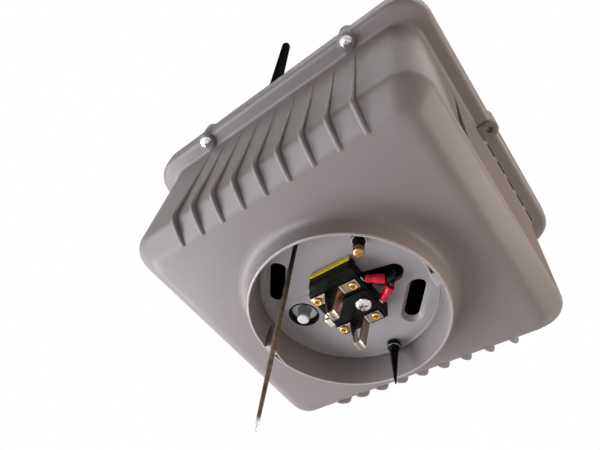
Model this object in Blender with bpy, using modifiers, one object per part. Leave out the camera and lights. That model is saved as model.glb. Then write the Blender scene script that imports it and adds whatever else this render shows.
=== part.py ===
"""Outdoor radio access point that plugs into the locking socket on top of a street lamp.

A moulded tub with ribbed ends hangs its round collar over the lamp's socket.  Three folded
blades in the collar make the connection, and a swivel antenna stands on the cover.
Sizes are millimetres; every mesh is scaled to metres once, when its object is made.
The origin lies on the collar's axis, in the plane of the tub's flat bottom.
"""

import math

import bmesh
import bpy
from mathutils import Matrix, Vector

MM = 0.001

# ---------------------------------------------------------------- driving dimensions, mm
GAP = 0.3                    # clearance between faces that touch on the real object

TUB_CENTRE = (-0.75, -2.5)   # middle of the tub, seen from the collar's axis
TUB_LENGTH = 176.3           # belt outline, across X
TUB_WIDTH = 160.0            # belt outline, across Y
TUB_CORNER = 14.5            # belt corner radius
TUB_WALL = 3.0
TUB_FLOOR = 2.7
CHAMFER_DEPTH = 12.6         # the bottom edge runs in by this much
CHAMFER_RISE = 14.0          # and up by this much
WALL_DRAFT = 2.0             # the walls lean out by this much on their way up
FLANGE_UNDERSIDE = 89.5      # height of the flange's lower face
FLANGE_REACH = 11.7          # flange edge outside the belt outline
FLANGE_DEPTH = 11.5          # from the flange's lower face up to the tub's rim
COVER_SKIN = 3.0
COVER_RISE = 11.9            # from the tub's rim up to the cover's crown

RIB_COUNT = 9
RIB_PITCH = 13.5
RIB_THICKNESS = 2.7
RIB_REACH = 1.9              # rib edge outside the belt outline
RIB_SHIFT = 2.5              # ribs and front screws sit this far to the right of the axis
RIB_ELBOW_HEIGHT = 7.8

COLLAR_RADIUS = 50.0
COLLAR_DEPTH = 13.3
COLLAR_WALL = 1.3            # at the rim; the inside tapers towards the plate
COLLAR_FILLET = 6.0
RECESS_RADIUS = 46.3
LUG_REACH = 3.2              # how far a lug stands in from the rim's inside
LUG_STEP = 0.4
LUG_RAMP = 12.3              # degrees from the rim to the stop
LUG_ARC = 8.3                # degrees, the stop alone
LUG_ANGLES = (-3.3, 176.7)   # degrees, where each ramp ends

PLATE_THICKNESS = 3.0
PLATE_SEAT = 4.6             # the plate overlaps the tub floor by this much all round
SLOT_CENTRES = ((27.2, 20.4), (-28.0, -24.9))
SLOT_ANGLE = 129.5           # degrees
SLOT_LENGTH = 25.5
SLOT_WIDTH = 8.0
SLOT_BEVEL = 1.8
LEAD_SLOT_Y = -0.7
LEAD_SLOT_END = 31.6
LEAD_SLOT_START = 15.2
LEAD_SLOT_WIDTH = 9.6

SENSOR_CENTRE = (-28.0, -1.0)
SENSOR_HOLE_RADIUS = 8.2
SENSOR_DEPTH = 8.5
LIGHT_PIPE_RADIUS = 3.2

PLUG_CENTRE = (0.5, -0.3)
PLUG_LENGTH = 28.0
PLUG_WIDTH = 32.5
PLUG_FACE = -5.0             # height of the face that carries the contacts
PLUG_BAR_WIDTH = 4.2
PLUG_HUB_RISE = 1.1
EYELET_POINTS = ((10.3, -10.9), (-10.6, -11.3), (-10.0, 11.3), (9.4, 11.4))
EYELET_RADIUS = 2.15
EYELET_BORE = 0.9
BLADE_WIDTH = 5.4
BLADE_THICKNESS = 0.9
BLADE_ROOT_X = 3.6
BLADE_FOLD = 8.2             # between the two legs where they leave the plug
BLADE_TIP_X = (-1.7, 1.1)    # centre lines of the legs at the tip
BLADE_TIP = -21.5
PLUG_SCREW_POINT = (8.5, 1.2)

CRIMP_RADIUS = 2.35
CRIMP_LENGTH = 10.6
CRIMP_HEIGHT = -2.7
LEAD_RADIUS = 1.25

JACK_RADIUS = 2.75           # both adjusting screws
INSERT_RADIUS = 3.7
INSERT_FACE = -0.6
POINTED_SCREW_POINT = (2.0, 41.2)
POINTED_SCREW_TIP = -24.5
BRASS_SCREW_POINT = (24.6, -28.0)
BRASS_SCREW_TIP = -10.6
GUIDE_ROD_POINT = (-3.5, -40.8)
GUIDE_ROD_TIP = -99.0
GUIDE_ROD_TAPER = -55.0      # the rod thins below this height
GUIDE_ROD_RADIUS = 1.1

COVER_SCREW_SPACING = 105.0
COVER_SCREW_OFFSET = 7.8     # screw axis outside the belt outline
COVER_BOSS_RADIUS = 5.3
COVER_BOSS_DROP = 1.6        # bosses hang below the flange by this much
COVER_SCREW_RADIUS = 1.9
COVER_SCREW_HEAD = 4.0
EMPTY_BOSS_BORE = 1.65       # tapped hole of the boss that has no screw

ANTENNA_X = -29.7
ANTENNA_INSET = 12.5         # antenna axis inside the front belt outline
ANTENNA_PIVOT_RISE = 24.0    # pivot above the cover's crown
ANTENNA_LEAN = 5.0           # degrees forward, as photographed
WHIP_LENGTH = 167.0
WHIP_BASE_RADIUS = 5.6
WHIP_TIP_RADIUS = 3.9
TONGUE_THICKNESS = 4.4
PIVOT_PIN_RADIUS = 1.25
CONNECTOR_TAIL = 17.0        # the connector reaches this far below the crown

BOARD_END_MARGIN = 13.15     # from the belt outline to the board's short edges
BOARD_SIDE_MARGIN = 16.0     # and to its long edges
BOARD_THICKNESS = 1.6
BOARD_HEIGHT = 34.0          # underside of the board
POST_RADIUS = 4.0            # moulded posts that carry the board
POST_INSET = 6.0

CORNER_STEPS = 4
ROUND_STEPS = 40
SMALL_STEPS = 16

# ---------------------------------------------------------------- places worked out from them
HALF_LENGTH = TUB_LENGTH / 2
HALF_WIDTH = TUB_WIDTH / 2
BOARD_LENGTH = TUB_LENGTH - 2 * BOARD_END_MARGIN
BOARD_WIDTH = TUB_WIDTH - 2 * BOARD_SIDE_MARGIN
ANTENNA_POINT = (ANTENNA_X, TUB_CENTRE[1] - HALF_WIDTH + ANTENNA_INSET)
PLATE_LOW = TUB_FLOOR + GAP
PLATE_HIGH = PLATE_LOW + PLATE_THICKNESS
LEDGE_HEIGHT = FLANGE_UNDERSIDE + TUB_WALL
RIM_HEIGHT = FLANGE_UNDERSIDE + FLANGE_DEPTH
COVER_LOW = RIM_HEIGHT + GAP
COVER_CROWN = RIM_HEIGHT + COVER_RISE
SIDE_SCREW_X = HALF_LENGTH + COVER_SCREW_OFFSET
END_SCREW_Y = HALF_WIDTH + COVER_SCREW_OFFSET
FRONT_X = RIB_SHIFT - TUB_CENTRE[0]
SCREWED_BOSSES = [
    (FRONT_X - COVER_SCREW_SPACING / 2, -END_SCREW_Y),
    (FRONT_X + COVER_SCREW_SPACING / 2, -END_SCREW_Y),
    (FRONT_X - COVER_SCREW_SPACING / 2, END_SCREW_Y),
    (FRONT_X + COVER_SCREW_SPACING / 2, END_SCREW_Y),
    (-SIDE_SCREW_X, 0.0),
]
EMPTY_BOSS = (SIDE_SCREW_X, 0.0)
PAD_TOP = COVER_CROWN + 1.2
CONNECTOR_RADIUS = 3.2
HEX_HEIGHT = 2.6
SEAL_THICKNESS = 1.6
HEX_LOW = PAD_TOP + GAP + SEAL_THICKNESS + GAP
HEX_HIGH = HEX_LOW + HEX_HEIGHT
PIVOT_HEIGHT = COVER_CROWN + ANTENNA_PIVOT_RISE

COLOURS = {
    "housing": ((0.42, 0.40, 0.41), 0.5, 0.0),
    "cover": ((0.38, 0.36, 0.37), 0.5, 0.0),
    "plate": ((0.36, 0.35, 0.36), 0.45, 0.0),
    "black": ((0.012, 0.014, 0.014), 0.4, 0.0),
    "black_steel": ((0.015, 0.015, 0.017), 0.35, 0.8),
    "rubber": ((0.02, 0.02, 0.02), 0.7, 0.0),
    "yellow": ((0.75, 0.62, 0.03), 0.5, 0.0),
    "nickel": ((0.62, 0.55, 0.50), 0.3, 1.0),
    "zinc": ((0.75, 0.75, 0.76), 0.25, 1.0),
    "brass": ((0.75, 0.48, 0.16), 0.3, 1.0),
    "red": ((0.72, 0.02, 0.05), 0.35, 0.0),
    "clear": ((0.75, 0.78, 0.80), 0.1, 0.0),
    "white": ((0.85, 0.85, 0.85), 0.4, 0.0),
    "rod": ((0.10, 0.06, 0.04), 0.4, 0.0),
    "board": ((0.02, 0.16, 0.06), 0.5, 0.0),
    "aluminium": ((0.65, 0.66, 0.68), 0.35, 1.0),
}


# ---------------------------------------------------------------- scene and object helpers
def clear_scene():
    for item in list(bpy.data.objects):
        bpy.data.objects.remove(item, do_unlink=True)
    for collection in list(bpy.data.collections):
        bpy.data.collections.remove(collection)


def new_collection(name):
    collection = bpy.data.collections.new(name)
    bpy.context.scene.collection.children.link(collection)
    return collection


clear_scene()
PARTS = new_collection("outdoor_access_point")
CUTTERS = new_collection("cutters")


def material(name):
    """One Principled material for each finish, made on first use."""
    found = bpy.data.materials.get(name)
    if found:
        return found
    colour, roughness, metallic = COLOURS[name]
    made = bpy.data.materials.new(name)
    made.use_nodes = True
    shader = made.node_tree.nodes["Principled BSDF"]
    shader.inputs["Base Color"].default_value = (*colour, 1.0)
    shader.inputs["Roughness"].default_value = roughness
    shader.inputs["Metallic"].default_value = metallic
    made.diffuse_color = (*colour, 1.0)
    return made


def add_object(name, bm, finish=None, place=(0.0, 0.0, 0.0), tilt=0.0):
    """Scale a millimetre bmesh to metres and make it an object; no finish makes a cutter."""
    bmesh.ops.recalc_face_normals(bm, faces=bm.faces)
    bmesh.ops.scale(bm, vec=(MM, MM, MM), verts=bm.verts)
    mesh = bpy.data.meshes.new(name)
    bm.to_mesh(mesh)
    bm.free()
    item = bpy.data.objects.new(name, mesh)
    item.location = Vector(place) * MM
    item.rotation_euler = (tilt, 0.0, 0.0)
    if finish is None:
        CUTTERS.objects.link(item)
        item.hide_render = True
        item.display_type = "WIRE"
    else:
        PARTS.objects.link(item)
        mesh.materials.append(material(finish))
        mesh.shade_smooth()
        mesh.set_sharp_from_angle(angle=math.radians(35))
    return item


def boolean(item, tool, operation):
    step = item.modifiers.new(operation.lower(), "BOOLEAN")
    step.operation = operation
    step.solver = "EXACT"
    step.object = tool
    return step


def turned(name, profile, finish, place=(0.0, 0.0, 0.0), steps=SMALL_STEPS):
    """Turn a profile of (radius, height) points, listed down its outer side, about Z."""
    bm = bmesh.new()
    points = [bm.verts.new((radius, 0.0, height)) for radius, height in profile]
    for start, end in zip(points, points[1:]):
        bm.edges.new((start, end))
    closed = profile[0][0] > 0 and profile[-1][0] > 0
    if closed:
        bm.edges.new((points[-1], points[0]))
    item = add_object(name, bm, finish, place)
    screw = item.modifiers.new("turn", "SCREW")
    screw.axis = "Z"
    screw.steps = steps
    screw.render_steps = steps
    screw.use_merge_vertices = True
    screw.merge_threshold = 0.00002
    return item


# ---------------------------------------------------------------- bmesh shapes, in mm
def add_cylinder(bm, x, y, low, high, radius, steps=SMALL_STEPS, top_radius=None):
    place = Matrix.Translation((x, y, (low + high) / 2))
    top = radius if top_radius is None else top_radius
    made = bmesh.ops.create_cone(bm, cap_ends=True, segments=steps, radius1=radius, radius2=top,
                                 depth=high - low, matrix=place)
    return made["verts"]


def add_box(bm, low, high, bevel=0.0):
    """A box between two corners, its upright edges rounded by bevel."""
    size = [b - a for a, b in zip(low, high)]
    middle = [(a + b) / 2 for a, b in zip(low, high)]
    place = Matrix.Translation(middle) @ Matrix.Diagonal((*size, 1.0))
    verts = bmesh.ops.create_cube(bm, size=1.0, matrix=place)["verts"]
    if bevel:
        edges = {edge for vert in verts for edge in vert.link_edges
                 if abs(edge.verts[0].co.z - edge.verts[1].co.z) > size[2] / 2}
        bmesh.ops.bevel(bm, geom=list(edges), offset=bevel, segments=2, profile=0.5,
                        affect="EDGES")
    return verts


def outline(centre, half_x, half_y, corner, height):
    """Points of a rounded rectangle, anticlockwise."""
    points = []
    for quarter, (sx, sy) in enumerate(((1, 1), (-1, 1), (-1, -1), (1, -1))):
        for step in range(CORNER_STEPS + 1):
            angle = math.radians(90 * (quarter + step / CORNER_STEPS))
            points.append((centre[0] + sx * (half_x - corner) + corner * math.cos(angle),
                           centre[1] + sy * (half_y - corner) + corner * math.sin(angle),
                           height))
    return points


def tub_outline(outset, height):
    """The belt outline grown by outset; corners soften outwards and tighten inwards."""
    share = 0.35 if outset > 0 else 0.6
    corner = max(TUB_CORNER + share * outset, 3.0)
    return outline(TUB_CENTRE, HALF_LENGTH + outset, HALF_WIDTH + outset, corner, height)


def stadium(centre, angle, length, width, height, steps=8):
    """Points of a slot with round ends."""
    points = []
    reach = (length - width) / 2
    for end in (0, 1):
        for step in range(steps + 1):
            turn = math.radians(-90 + 180 * (end + step / steps))
            along = (reach if end == 0 else -reach) + width / 2 * math.cos(turn)
            across = width / 2 * math.sin(turn)
            points.append((centre[0] + along * math.cos(angle) - across * math.sin(angle),
                           centre[1] + along * math.sin(angle) + across * math.cos(angle),
                           height))
    return points


def loft(bm, sections, closed=False):
    """Join sections of equal point counts by quads; cap both ends, or close the last on the first."""
    rings = [[bm.verts.new(point) for point in section] for section in sections]
    pairs = list(zip(rings, rings[1:]))
    if closed:
        pairs.append((rings[-1], rings[0]))
    for lower, upper in pairs:
        for index in range(len(lower)):
            after = (index + 1) % len(lower)
            bm.faces.new((lower[index], lower[after], upper[after], upper[index]))
    if not closed:
        bm.faces.new(list(reversed(rings[0])))
        bm.faces.new(rings[-1])


def add_prism(bm, points, depth, to_world):
    """A flat outline (a, b) pushed both ways by half the depth; to_world places (a, b, c)."""
    base = [bm.verts.new(to_world(a, b, -depth / 2)) for a, b in points]
    far = [bm.verts.new(to_world(a, b, depth / 2)) for a, b in points]
    bm.faces.new(list(reversed(base)))
    bm.faces.new(far)
    for index in range(len(points)):
        after = (index + 1) % len(points)
        bm.faces.new((base[index], base[after], far[after], far[index]))


def strip_outline(path, thickness):
    """Outline of a bent strip: its centre line offset to both sides with mitred corners."""
    left, right = [], []
    for index, point in enumerate(path):
        here = Vector(point)
        before = (here - Vector(path[index - 1])).normalized() if index else None
        after = (Vector(path[index + 1]) - here).normalized() if index + 1 < len(path) else None
        along = (before or after) if not (before and after) else (before + after).normalized()
        normal = Vector((-along.y, along.x))
        reach = thickness / 2
        if before and after:
            reach /= normal.dot(Vector((-before.y, before.x)))
        left.append(here + normal * reach)
        right.append(here - normal * reach)
    return [tuple(point) for point in left + right[::-1]]


def add_arc_block(bm, angle, arc, inner, outer, low, high, steps=8):
    """A block bent about the collar's axis, arc degrees long and centred on angle."""
    sections = []
    for step in range(steps + 1):
        turn = math.radians(angle - arc / 2 + arc * step / steps)
        corners = ((inner, low), (outer, low), (outer, high), (inner, high))
        sections.append([(radius * math.cos(turn), radius * math.sin(turn), height)
                         for radius, height in corners])
    loft(bm, sections)


def tube(name, points, radius, finish):
    """A round wire along hand-placed points, smoothed to an even polyline."""
    smooth = []
    for index in range(len(points) - 1):
        p0 = Vector(points[max(index - 1, 0)])
        p1, p2 = Vector(points[index]), Vector(points[index + 1])
        p3 = Vector(points[min(index + 2, len(points) - 1)])
        pieces = max(1, round((p2 - p1).length / (radius * 6)))
        for piece in range(pieces):
            t = piece / pieces
            smooth.append(0.5 * (2 * p1 + (p2 - p0) * t + (2 * p0 - 5 * p1 + 4 * p2 - p3) * t ** 2
                                 + (3 * p1 - p0 - 3 * p2 + p3) * t ** 3))
    smooth.append(Vector(points[-1]))
    curve = bpy.data.curves.new(name, "CURVE")
    curve.dimensions = "3D"
    curve.bevel_depth = radius * MM
    curve.bevel_resolution = 1
    curve.use_fill_caps = True
    spline = curve.splines.new("POLY")
    spline.points.add(len(smooth) - 1)
    for point, place in zip(spline.points, smooth):
        point.co = (*(place * MM), 1.0)
    curve.materials.append(material(finish))
    item = bpy.data.objects.new(name, curve)
    PARTS.objects.link(item)
    return item


# ---------------------------------------------------------------- the tub and its collar
def boss_points():
    return [(TUB_CENTRE[0] + x, TUB_CENTRE[1] + y) for x, y in SCREWED_BOSSES + [EMPTY_BOSS]]


def tub_shell():
    """Outer skin from the flat bottom to the rim, then the inner skin back down."""
    deep, rise = CHAMFER_DEPTH, CHAMFER_RISE
    low, lean, reach, wall = FLANGE_UNDERSIDE, WALL_DRAFT, FLANGE_REACH, TUB_WALL
    outer = [
        (-deep - 0.6, 0.0), (-deep + 0.9, 0.4), (-deep + 2.2, 1.4),
        (-0.12 * deep, 0.76 * rise), (0.0, rise),
        (lean, low - 2.0), (lean + 1.6, low), (reach - 3.4, low + 0.5),
        (reach - 1.3, low + 2.0), (reach, RIM_HEIGHT),
    ]
    inner = [
        (reach - wall, RIM_HEIGHT), (reach - wall - 1.0, low + wall),
        (lean - wall, low + wall), (-wall, rise), (-deep - 0.6, TUB_FLOOR + 0.9),
        (-deep - 2.6, TUB_FLOOR),
    ]
    bm = bmesh.new()
    loft(bm, [tub_outline(outset, height) for outset, height in outer + inner])
    return add_object("lower_housing", bm, "housing")


def rib_outline():
    """One rib seen from the side, as (outset, height); its inner edge is buried in the wall."""
    elbow = RIB_ELBOW_HEIGHT
    tip = -CHAMFER_DEPTH + 0.6
    return [
        (RIB_REACH - 1.6, FLANGE_UNDERSIDE - 6.0), (RIB_REACH, FLANGE_UNDERSIDE - 6.0),
        (RIB_REACH, elbow + 1.6), (RIB_REACH - 1.6, elbow - 0.7),
        (tip + 0.8, 0.3), (tip - 0.2, 1.1), (-1.4, CHAMFER_RISE + 1.0),
    ]


def ribs():
    bm = bmesh.new()
    for side in (-1, 1):
        for index in range(RIB_COUNT):
            middle = RIB_SHIFT + RIB_PITCH * (index - (RIB_COUNT - 1) / 2)
            add_prism(bm, rib_outline(), RIB_THICKNESS, lambda out, up, across: (
                middle + across, TUB_CENTRE[1] + side * (HALF_WIDTH + out), up))
    return add_object("rib_blanks", bm)


def collar_ring():
    """Collar wall with the fillet that flows into the flat bottom."""
    outer, rim, inner = COLLAR_RADIUS, -COLLAR_DEPTH, COLLAR_RADIUS - COLLAR_WALL
    fillet = COLLAR_FILLET
    profile = [
        (outer + fillet, 1.4), (outer + fillet, -0.12), (outer + 0.62 * fillet, -0.6),
        (outer + 0.34 * fillet, -1.8), (outer + 0.2 * fillet, -4.0), (outer, rim + 0.7),
        (outer - 0.3, rim), (inner + 0.3, rim), (inner, rim + 0.4),
        (RECESS_RADIUS + 0.2, 1.4),
    ]
    ring = turned("collar_blank", profile, None, steps=ROUND_STEPS)
    return ring


def lugs():
    """Two snap lugs inside the rim: a springy ramp that ends in a stop, and a slot beside it."""
    solid, slit = bmesh.new(), bmesh.new()
    inner = COLLAR_RADIUS - COLLAR_WALL
    back, face = inner + 0.7, inner + LUG_STEP - LUG_REACH
    low, high = -COLLAR_DEPTH + 0.2, -3.0
    for angle in LUG_ANGLES:
        points = []
        for turn, radius in ((-LUG_RAMP, inner + 0.2), (0.0, face + 0.2), (LUG_ARC, face),
                             (LUG_ARC, back), (-0.4, back), (-0.9, face + 1.1),
                             (-LUG_RAMP + 2.0, back)):
            turn = math.radians(angle + turn)
            points.append((radius * math.cos(turn), radius * math.sin(turn)))
        add_prism(solid, points, high - low, lambda a, b, c: (a, b, (low + high) / 2 + c))
        add_arc_block(slit, angle + LUG_ARC + 1.4, 1.9, inner - 4.0, inner + 0.4,
                      -COLLAR_DEPTH - 1.0, 0.5, 2)
    return add_object("lug_blanks", solid), add_object("lug_slots", slit)


def bosses():
    bm = bmesh.new()
    for x, y in boss_points():
        add_cylinder(bm, x, y, FLANGE_UNDERSIDE - COVER_BOSS_DROP, RIM_HEIGHT - 0.05,
                     COVER_BOSS_RADIUS, 14)
    return add_object("boss_blanks", bm)


def boss_web():
    """Square web that joins the empty boss to the right wall."""
    x, y = boss_points()[-1]
    low, half = FLANGE_UNDERSIDE - COVER_BOSS_DROP - 0.2, COVER_BOSS_RADIUS - 0.4
    bm = bmesh.new()
    add_box(bm, (x - 6.5, y - half, low), (x, y + half, FLANGE_UNDERSIDE + 2.0))
    return add_object("boss_web", bm)


def tub_cuts():
    """Everything drilled or sunk into the tub."""
    bm = bmesh.new()
    add_cylinder(bm, 0, 0, -4.0, TUB_FLOOR + 4.0, RECESS_RADIUS, ROUND_STEPS)
    bores = [COVER_SCREW_RADIUS + GAP] * len(SCREWED_BOSSES) + [EMPTY_BOSS_BORE]
    for (x, y), radius in zip(boss_points(), bores):
        add_cylinder(bm, x, y, FLANGE_UNDERSIDE - 6.0, RIM_HEIGHT + 2.0, radius, 10)
    for x, y in plate_screw_points():
        add_cylinder(bm, x, y, -5.0, TUB_FLOOR + 4.0, PLATE_SCREW_RADIUS + GAP, 8)
    for x, y in board_corners():
        add_cylinder(bm, x, y, BOARD_HEIGHT - BOARD_SCREW_LENGTH, BOARD_HEIGHT + 2.0,
                     BOARD_SCREW_RADIUS + GAP, 8)
    side = TUB_CENTRE[0] + HALF_LENGTH + WALL_DRAFT
    for index in range(5):
        middle = 10.5 + RIB_PITCH * index
        add_box(bm, (side - 1.4, middle - 4.3, FLANGE_UNDERSIDE - 4.4),
                (side + 1.4, middle + 4.3, FLANGE_UNDERSIDE - 3.4))
    return add_object("tub_cuts", bm)


def side_relief():
    """The narrow relief in the right wall that deepens towards the bottom."""
    wall, top, foot = TUB_CENTRE[0] + HALF_LENGTH, FLANGE_UNDERSIDE - 9.5, CHAMFER_RISE + 6.0
    points = [(wall + 3.0, top), (wall + WALL_DRAFT - 0.2, top), (wall - 1.6, foot + 4.0),
              (wall - 1.3, foot), (wall + 3.0, foot)]
    bm = bmesh.new()
    add_prism(bm, points, 2.2, lambda out, up, across: (out, -36.0 + across, up))
    return add_object("side_relief", bm)


def lower_housing():
    shell = tub_shell()
    lug_solid, lug_slit = lugs()
    for tool in (ribs(), collar_ring(), bosses(), boss_web(), posts(), lug_solid):
        boolean(shell, tool, "UNION")
    for tool in (tub_cuts(), side_relief(), lug_slit):
        boolean(shell, tool, "DIFFERENCE")
    return shell


# ---------------------------------------------------------------- the cover
GASKET_WIDTH = 2.0
GASKET_HEIGHT = 2.5
LIP_WIDTH = 1.8


def top_cover():
    reach, low, top, skin = FLANGE_REACH, COVER_LOW, COVER_CROWN, COVER_SKIN
    lip_low = LEDGE_HEIGHT + GAP + GASKET_HEIGHT + GAP
    outside = [
        (-62.0, top), (-40.0, top - 0.5), (-12.0, top - 1.7), (4.0, top - 3.2),
        (9.6, top - 5.1), (11.2, top - 6.9), (reach, top - 8.8), (reach, low),
    ]
    inside = [
        (reach - skin, low), (reach - skin - 0.6, top - skin - 4.8), (3.6, low + 2.0),
        (LIP_WIDTH + 0.2, low - 0.4), (LIP_WIDTH + 0.2, lip_low), (0.2, lip_low),
        (0.2, top - skin - 2.8), (-40.0, top - skin - 0.5), (-62.0, top - skin),
    ]
    bm = bmesh.new()
    loft(bm, [tub_outline(outset, height) for outset, height in outside + inside])
    cover = add_object("top_cover", bm, "cover")

    pads = bmesh.new()
    for x, y in boss_points():
        add_cylinder(pads, x, y, low + 0.02, top - 5.6, COVER_BOSS_RADIUS, 14)
    add_cylinder(pads, *ANTENNA_POINT, top - skin - 4.0, PAD_TOP, 9.5, 20)
    boolean(cover, add_object("cover_pads", pads), "UNION")

    holes = bmesh.new()
    for x, y in boss_points()[:-1]:
        add_cylinder(holes, x, y, low - 3.0, cover_screw_end() + GAP, COVER_SCREW_RADIUS + GAP, 10)
    add_cylinder(holes, *ANTENNA_POINT, top - 12.0, PAD_TOP + 3.0, CONNECTOR_RADIUS + GAP, 16)
    boolean(cover, add_object("cover_holes", holes), "DIFFERENCE")
    return cover


def cover_screw_end():
    return COVER_LOW + 3.4


def cover_gasket():
    low, high = LEDGE_HEIGHT + GAP, LEDGE_HEIGHT + GAP + GASKET_HEIGHT
    corners = [(0.1, low), (0.1 + GASKET_WIDTH, low), (0.1 + GASKET_WIDTH, high), (0.1, high)]
    bm = bmesh.new()
    loft(bm, [tub_outline(outset, height) for outset, height in corners], closed=True)
    return add_object("cover_gasket", bm, "rubber")


def screw_profile(head_radius, head_height, shank_radius, length):
    """A pan head screw hanging head down: head below zero, shank above it."""
    return [
        (0.0, length), (shank_radius - 0.3, length), (shank_radius, 0.0), (head_radius, 0.0),
        (head_radius, -0.45 * head_height),
        (0.8 * head_radius, -0.85 * head_height), (0.42 * head_radius, -head_height),
        (0.0, -head_height),
    ]


def cover_screws():
    seat = FLANGE_UNDERSIDE - COVER_BOSS_DROP - GAP
    profile = screw_profile(COVER_SCREW_HEAD, 2.7, COVER_SCREW_RADIUS, cover_screw_end() - seat)
    for number, (x, y) in enumerate(boss_points()[:-1], 1):
        turned(f"cover_screw_{number}", profile, "zinc", (x, y, seat), 10)


# ---------------------------------------------------------------- the plate in the recess
PLATE_SCREW_RADIUS = 1.2
PLATE_SCREW_ANGLES = (135, 315)


def plate_screw_points():
    radius = RECESS_RADIUS + 2.3
    return [(radius * math.cos(math.radians(angle)), radius * math.sin(math.radians(angle)))
            for angle in PLATE_SCREW_ANGLES]


def recess_plate():
    bm = bmesh.new()
    add_cylinder(bm, 0, 0, PLATE_LOW, PLATE_HIGH, RECESS_RADIUS + PLATE_SEAT, ROUND_STEPS)
    plate = add_object("recess_plate", bm, "plate")

    slots = bmesh.new()
    angle = math.radians(SLOT_ANGLE)
    for centre in SLOT_CENTRES:
        sizes = ((SLOT_BEVEL, PLATE_LOW - 0.4), (0.0, PLATE_LOW + 0.6 * PLATE_THICKNESS),
                 (0.0, PLATE_HIGH + 1.0))
        loft(slots, [stadium(centre, angle, SLOT_LENGTH + 2 * grow, SLOT_WIDTH + 2 * grow, height)
                     for grow, height in sizes])
    lead_middle = ((LEAD_SLOT_START + LEAD_SLOT_END) / 2, LEAD_SLOT_Y)
    lead_length = LEAD_SLOT_END - LEAD_SLOT_START
    loft(slots, [stadium(lead_middle, 0.0, lead_length, LEAD_SLOT_WIDTH, height)
                 for height in (PLATE_LOW - 1.0, PLATE_HIGH + 1.0)])
    boolean(plate, add_object("plate_slots", slots), "DIFFERENCE")

    holes = bmesh.new()
    add_cylinder(holes, *SENSOR_CENTRE, PLATE_LOW - 1, PLATE_HIGH + 1, SENSOR_HOLE_RADIUS, 24)
    add_cylinder(holes, *PLUG_SCREW_POINT, PLATE_LOW - 1, PLATE_HIGH + 1, PLUG_SCREW_SHANK + GAP, 12)
    for point in (POINTED_SCREW_POINT, BRASS_SCREW_POINT, GUIDE_ROD_POINT):
        radius = GUIDE_ROD_RADIUS if point == GUIDE_ROD_POINT else INSERT_RADIUS - 0.4
        add_cylinder(holes, *point, PLATE_LOW - 1, PLATE_HIGH + 1, radius + GAP, 16)
    for point in plate_screw_points():
        add_cylinder(holes, *point, PLATE_LOW - 1, PLATE_HIGH + 1, PLATE_SCREW_RADIUS + GAP, 10)
    boolean(plate, add_object("plate_holes", holes), "DIFFERENCE")
    return plate


def plate_screws():
    """Two screws driven down through the plate into the root of the collar."""
    length = PLATE_HIGH + GAP + 4.0
    profile = [(0.0, 1.6), (1.6, 1.5), (2.3, 0.9), (2.3, 0.0), (PLATE_SCREW_RADIUS, 0.0),
               (PLATE_SCREW_RADIUS, -length + 1.0), (0.0, -length)]
    for number, (x, y) in enumerate(plate_screw_points(), 1):
        turned(f"plate_screw_{number}", profile, "zinc", (x, y, PLATE_HIGH + GAP), 8)


# ---------------------------------------------------------------- light sensor
def sensor_cup():
    """A dark cup pushed through the plate from inside, with a flange to stop it."""
    outer = SENSOR_HOLE_RADIUS - GAP
    top = PLATE_LOW + SENSOR_DEPTH
    profile = [
        (0.0, top), (outer, top), (outer, PLATE_HIGH + GAP + 1.2),
        (outer + 2.2, PLATE_HIGH + GAP + 1.2), (outer + 2.2, PLATE_HIGH + GAP),
        (outer, PLATE_HIGH + GAP), (outer, PLATE_LOW), (outer - 1.2, PLATE_LOW - 0.5),
        (outer - 1.8, PLATE_LOW), (outer - 1.8, top - 1.4), (0.0, top - 1.4),
    ]
    return turned("sensor_cup", profile, "black", (*SENSOR_CENTRE, 0.0), 20)


def light_pipe():
    top = PLATE_LOW + SENSOR_DEPTH - 1.4 - GAP
    foot = LIGHT_PIPE_RADIUS + 1.6
    profile = [(0.0, top), (foot, top), (foot, top - 1.2), (foot - 0.8, top - 2.2),
               (LIGHT_PIPE_RADIUS, top - 3.0), (LIGHT_PIPE_RADIUS, 0.2), (0.0, 0.2)]
    return turned("light_pipe", profile, "clear", (*SENSOR_CENTRE, 0.0))


def light_pipe_diffuser():
    radius = LIGHT_PIPE_RADIUS
    profile = [(0.0, 0.2 - GAP), (radius, 0.2 - GAP), (radius, -0.7), (radius - 0.6, -1.2),
               (0.0, -1.4)]
    return turned("light_pipe_diffuser", profile, "white", (*SENSOR_CENTRE, 0.0))


# ---------------------------------------------------------------- the locking plug
PLUG_SCREW_SHANK = 1.9
PLUG_HIGH = PLATE_LOW - GAP


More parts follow.
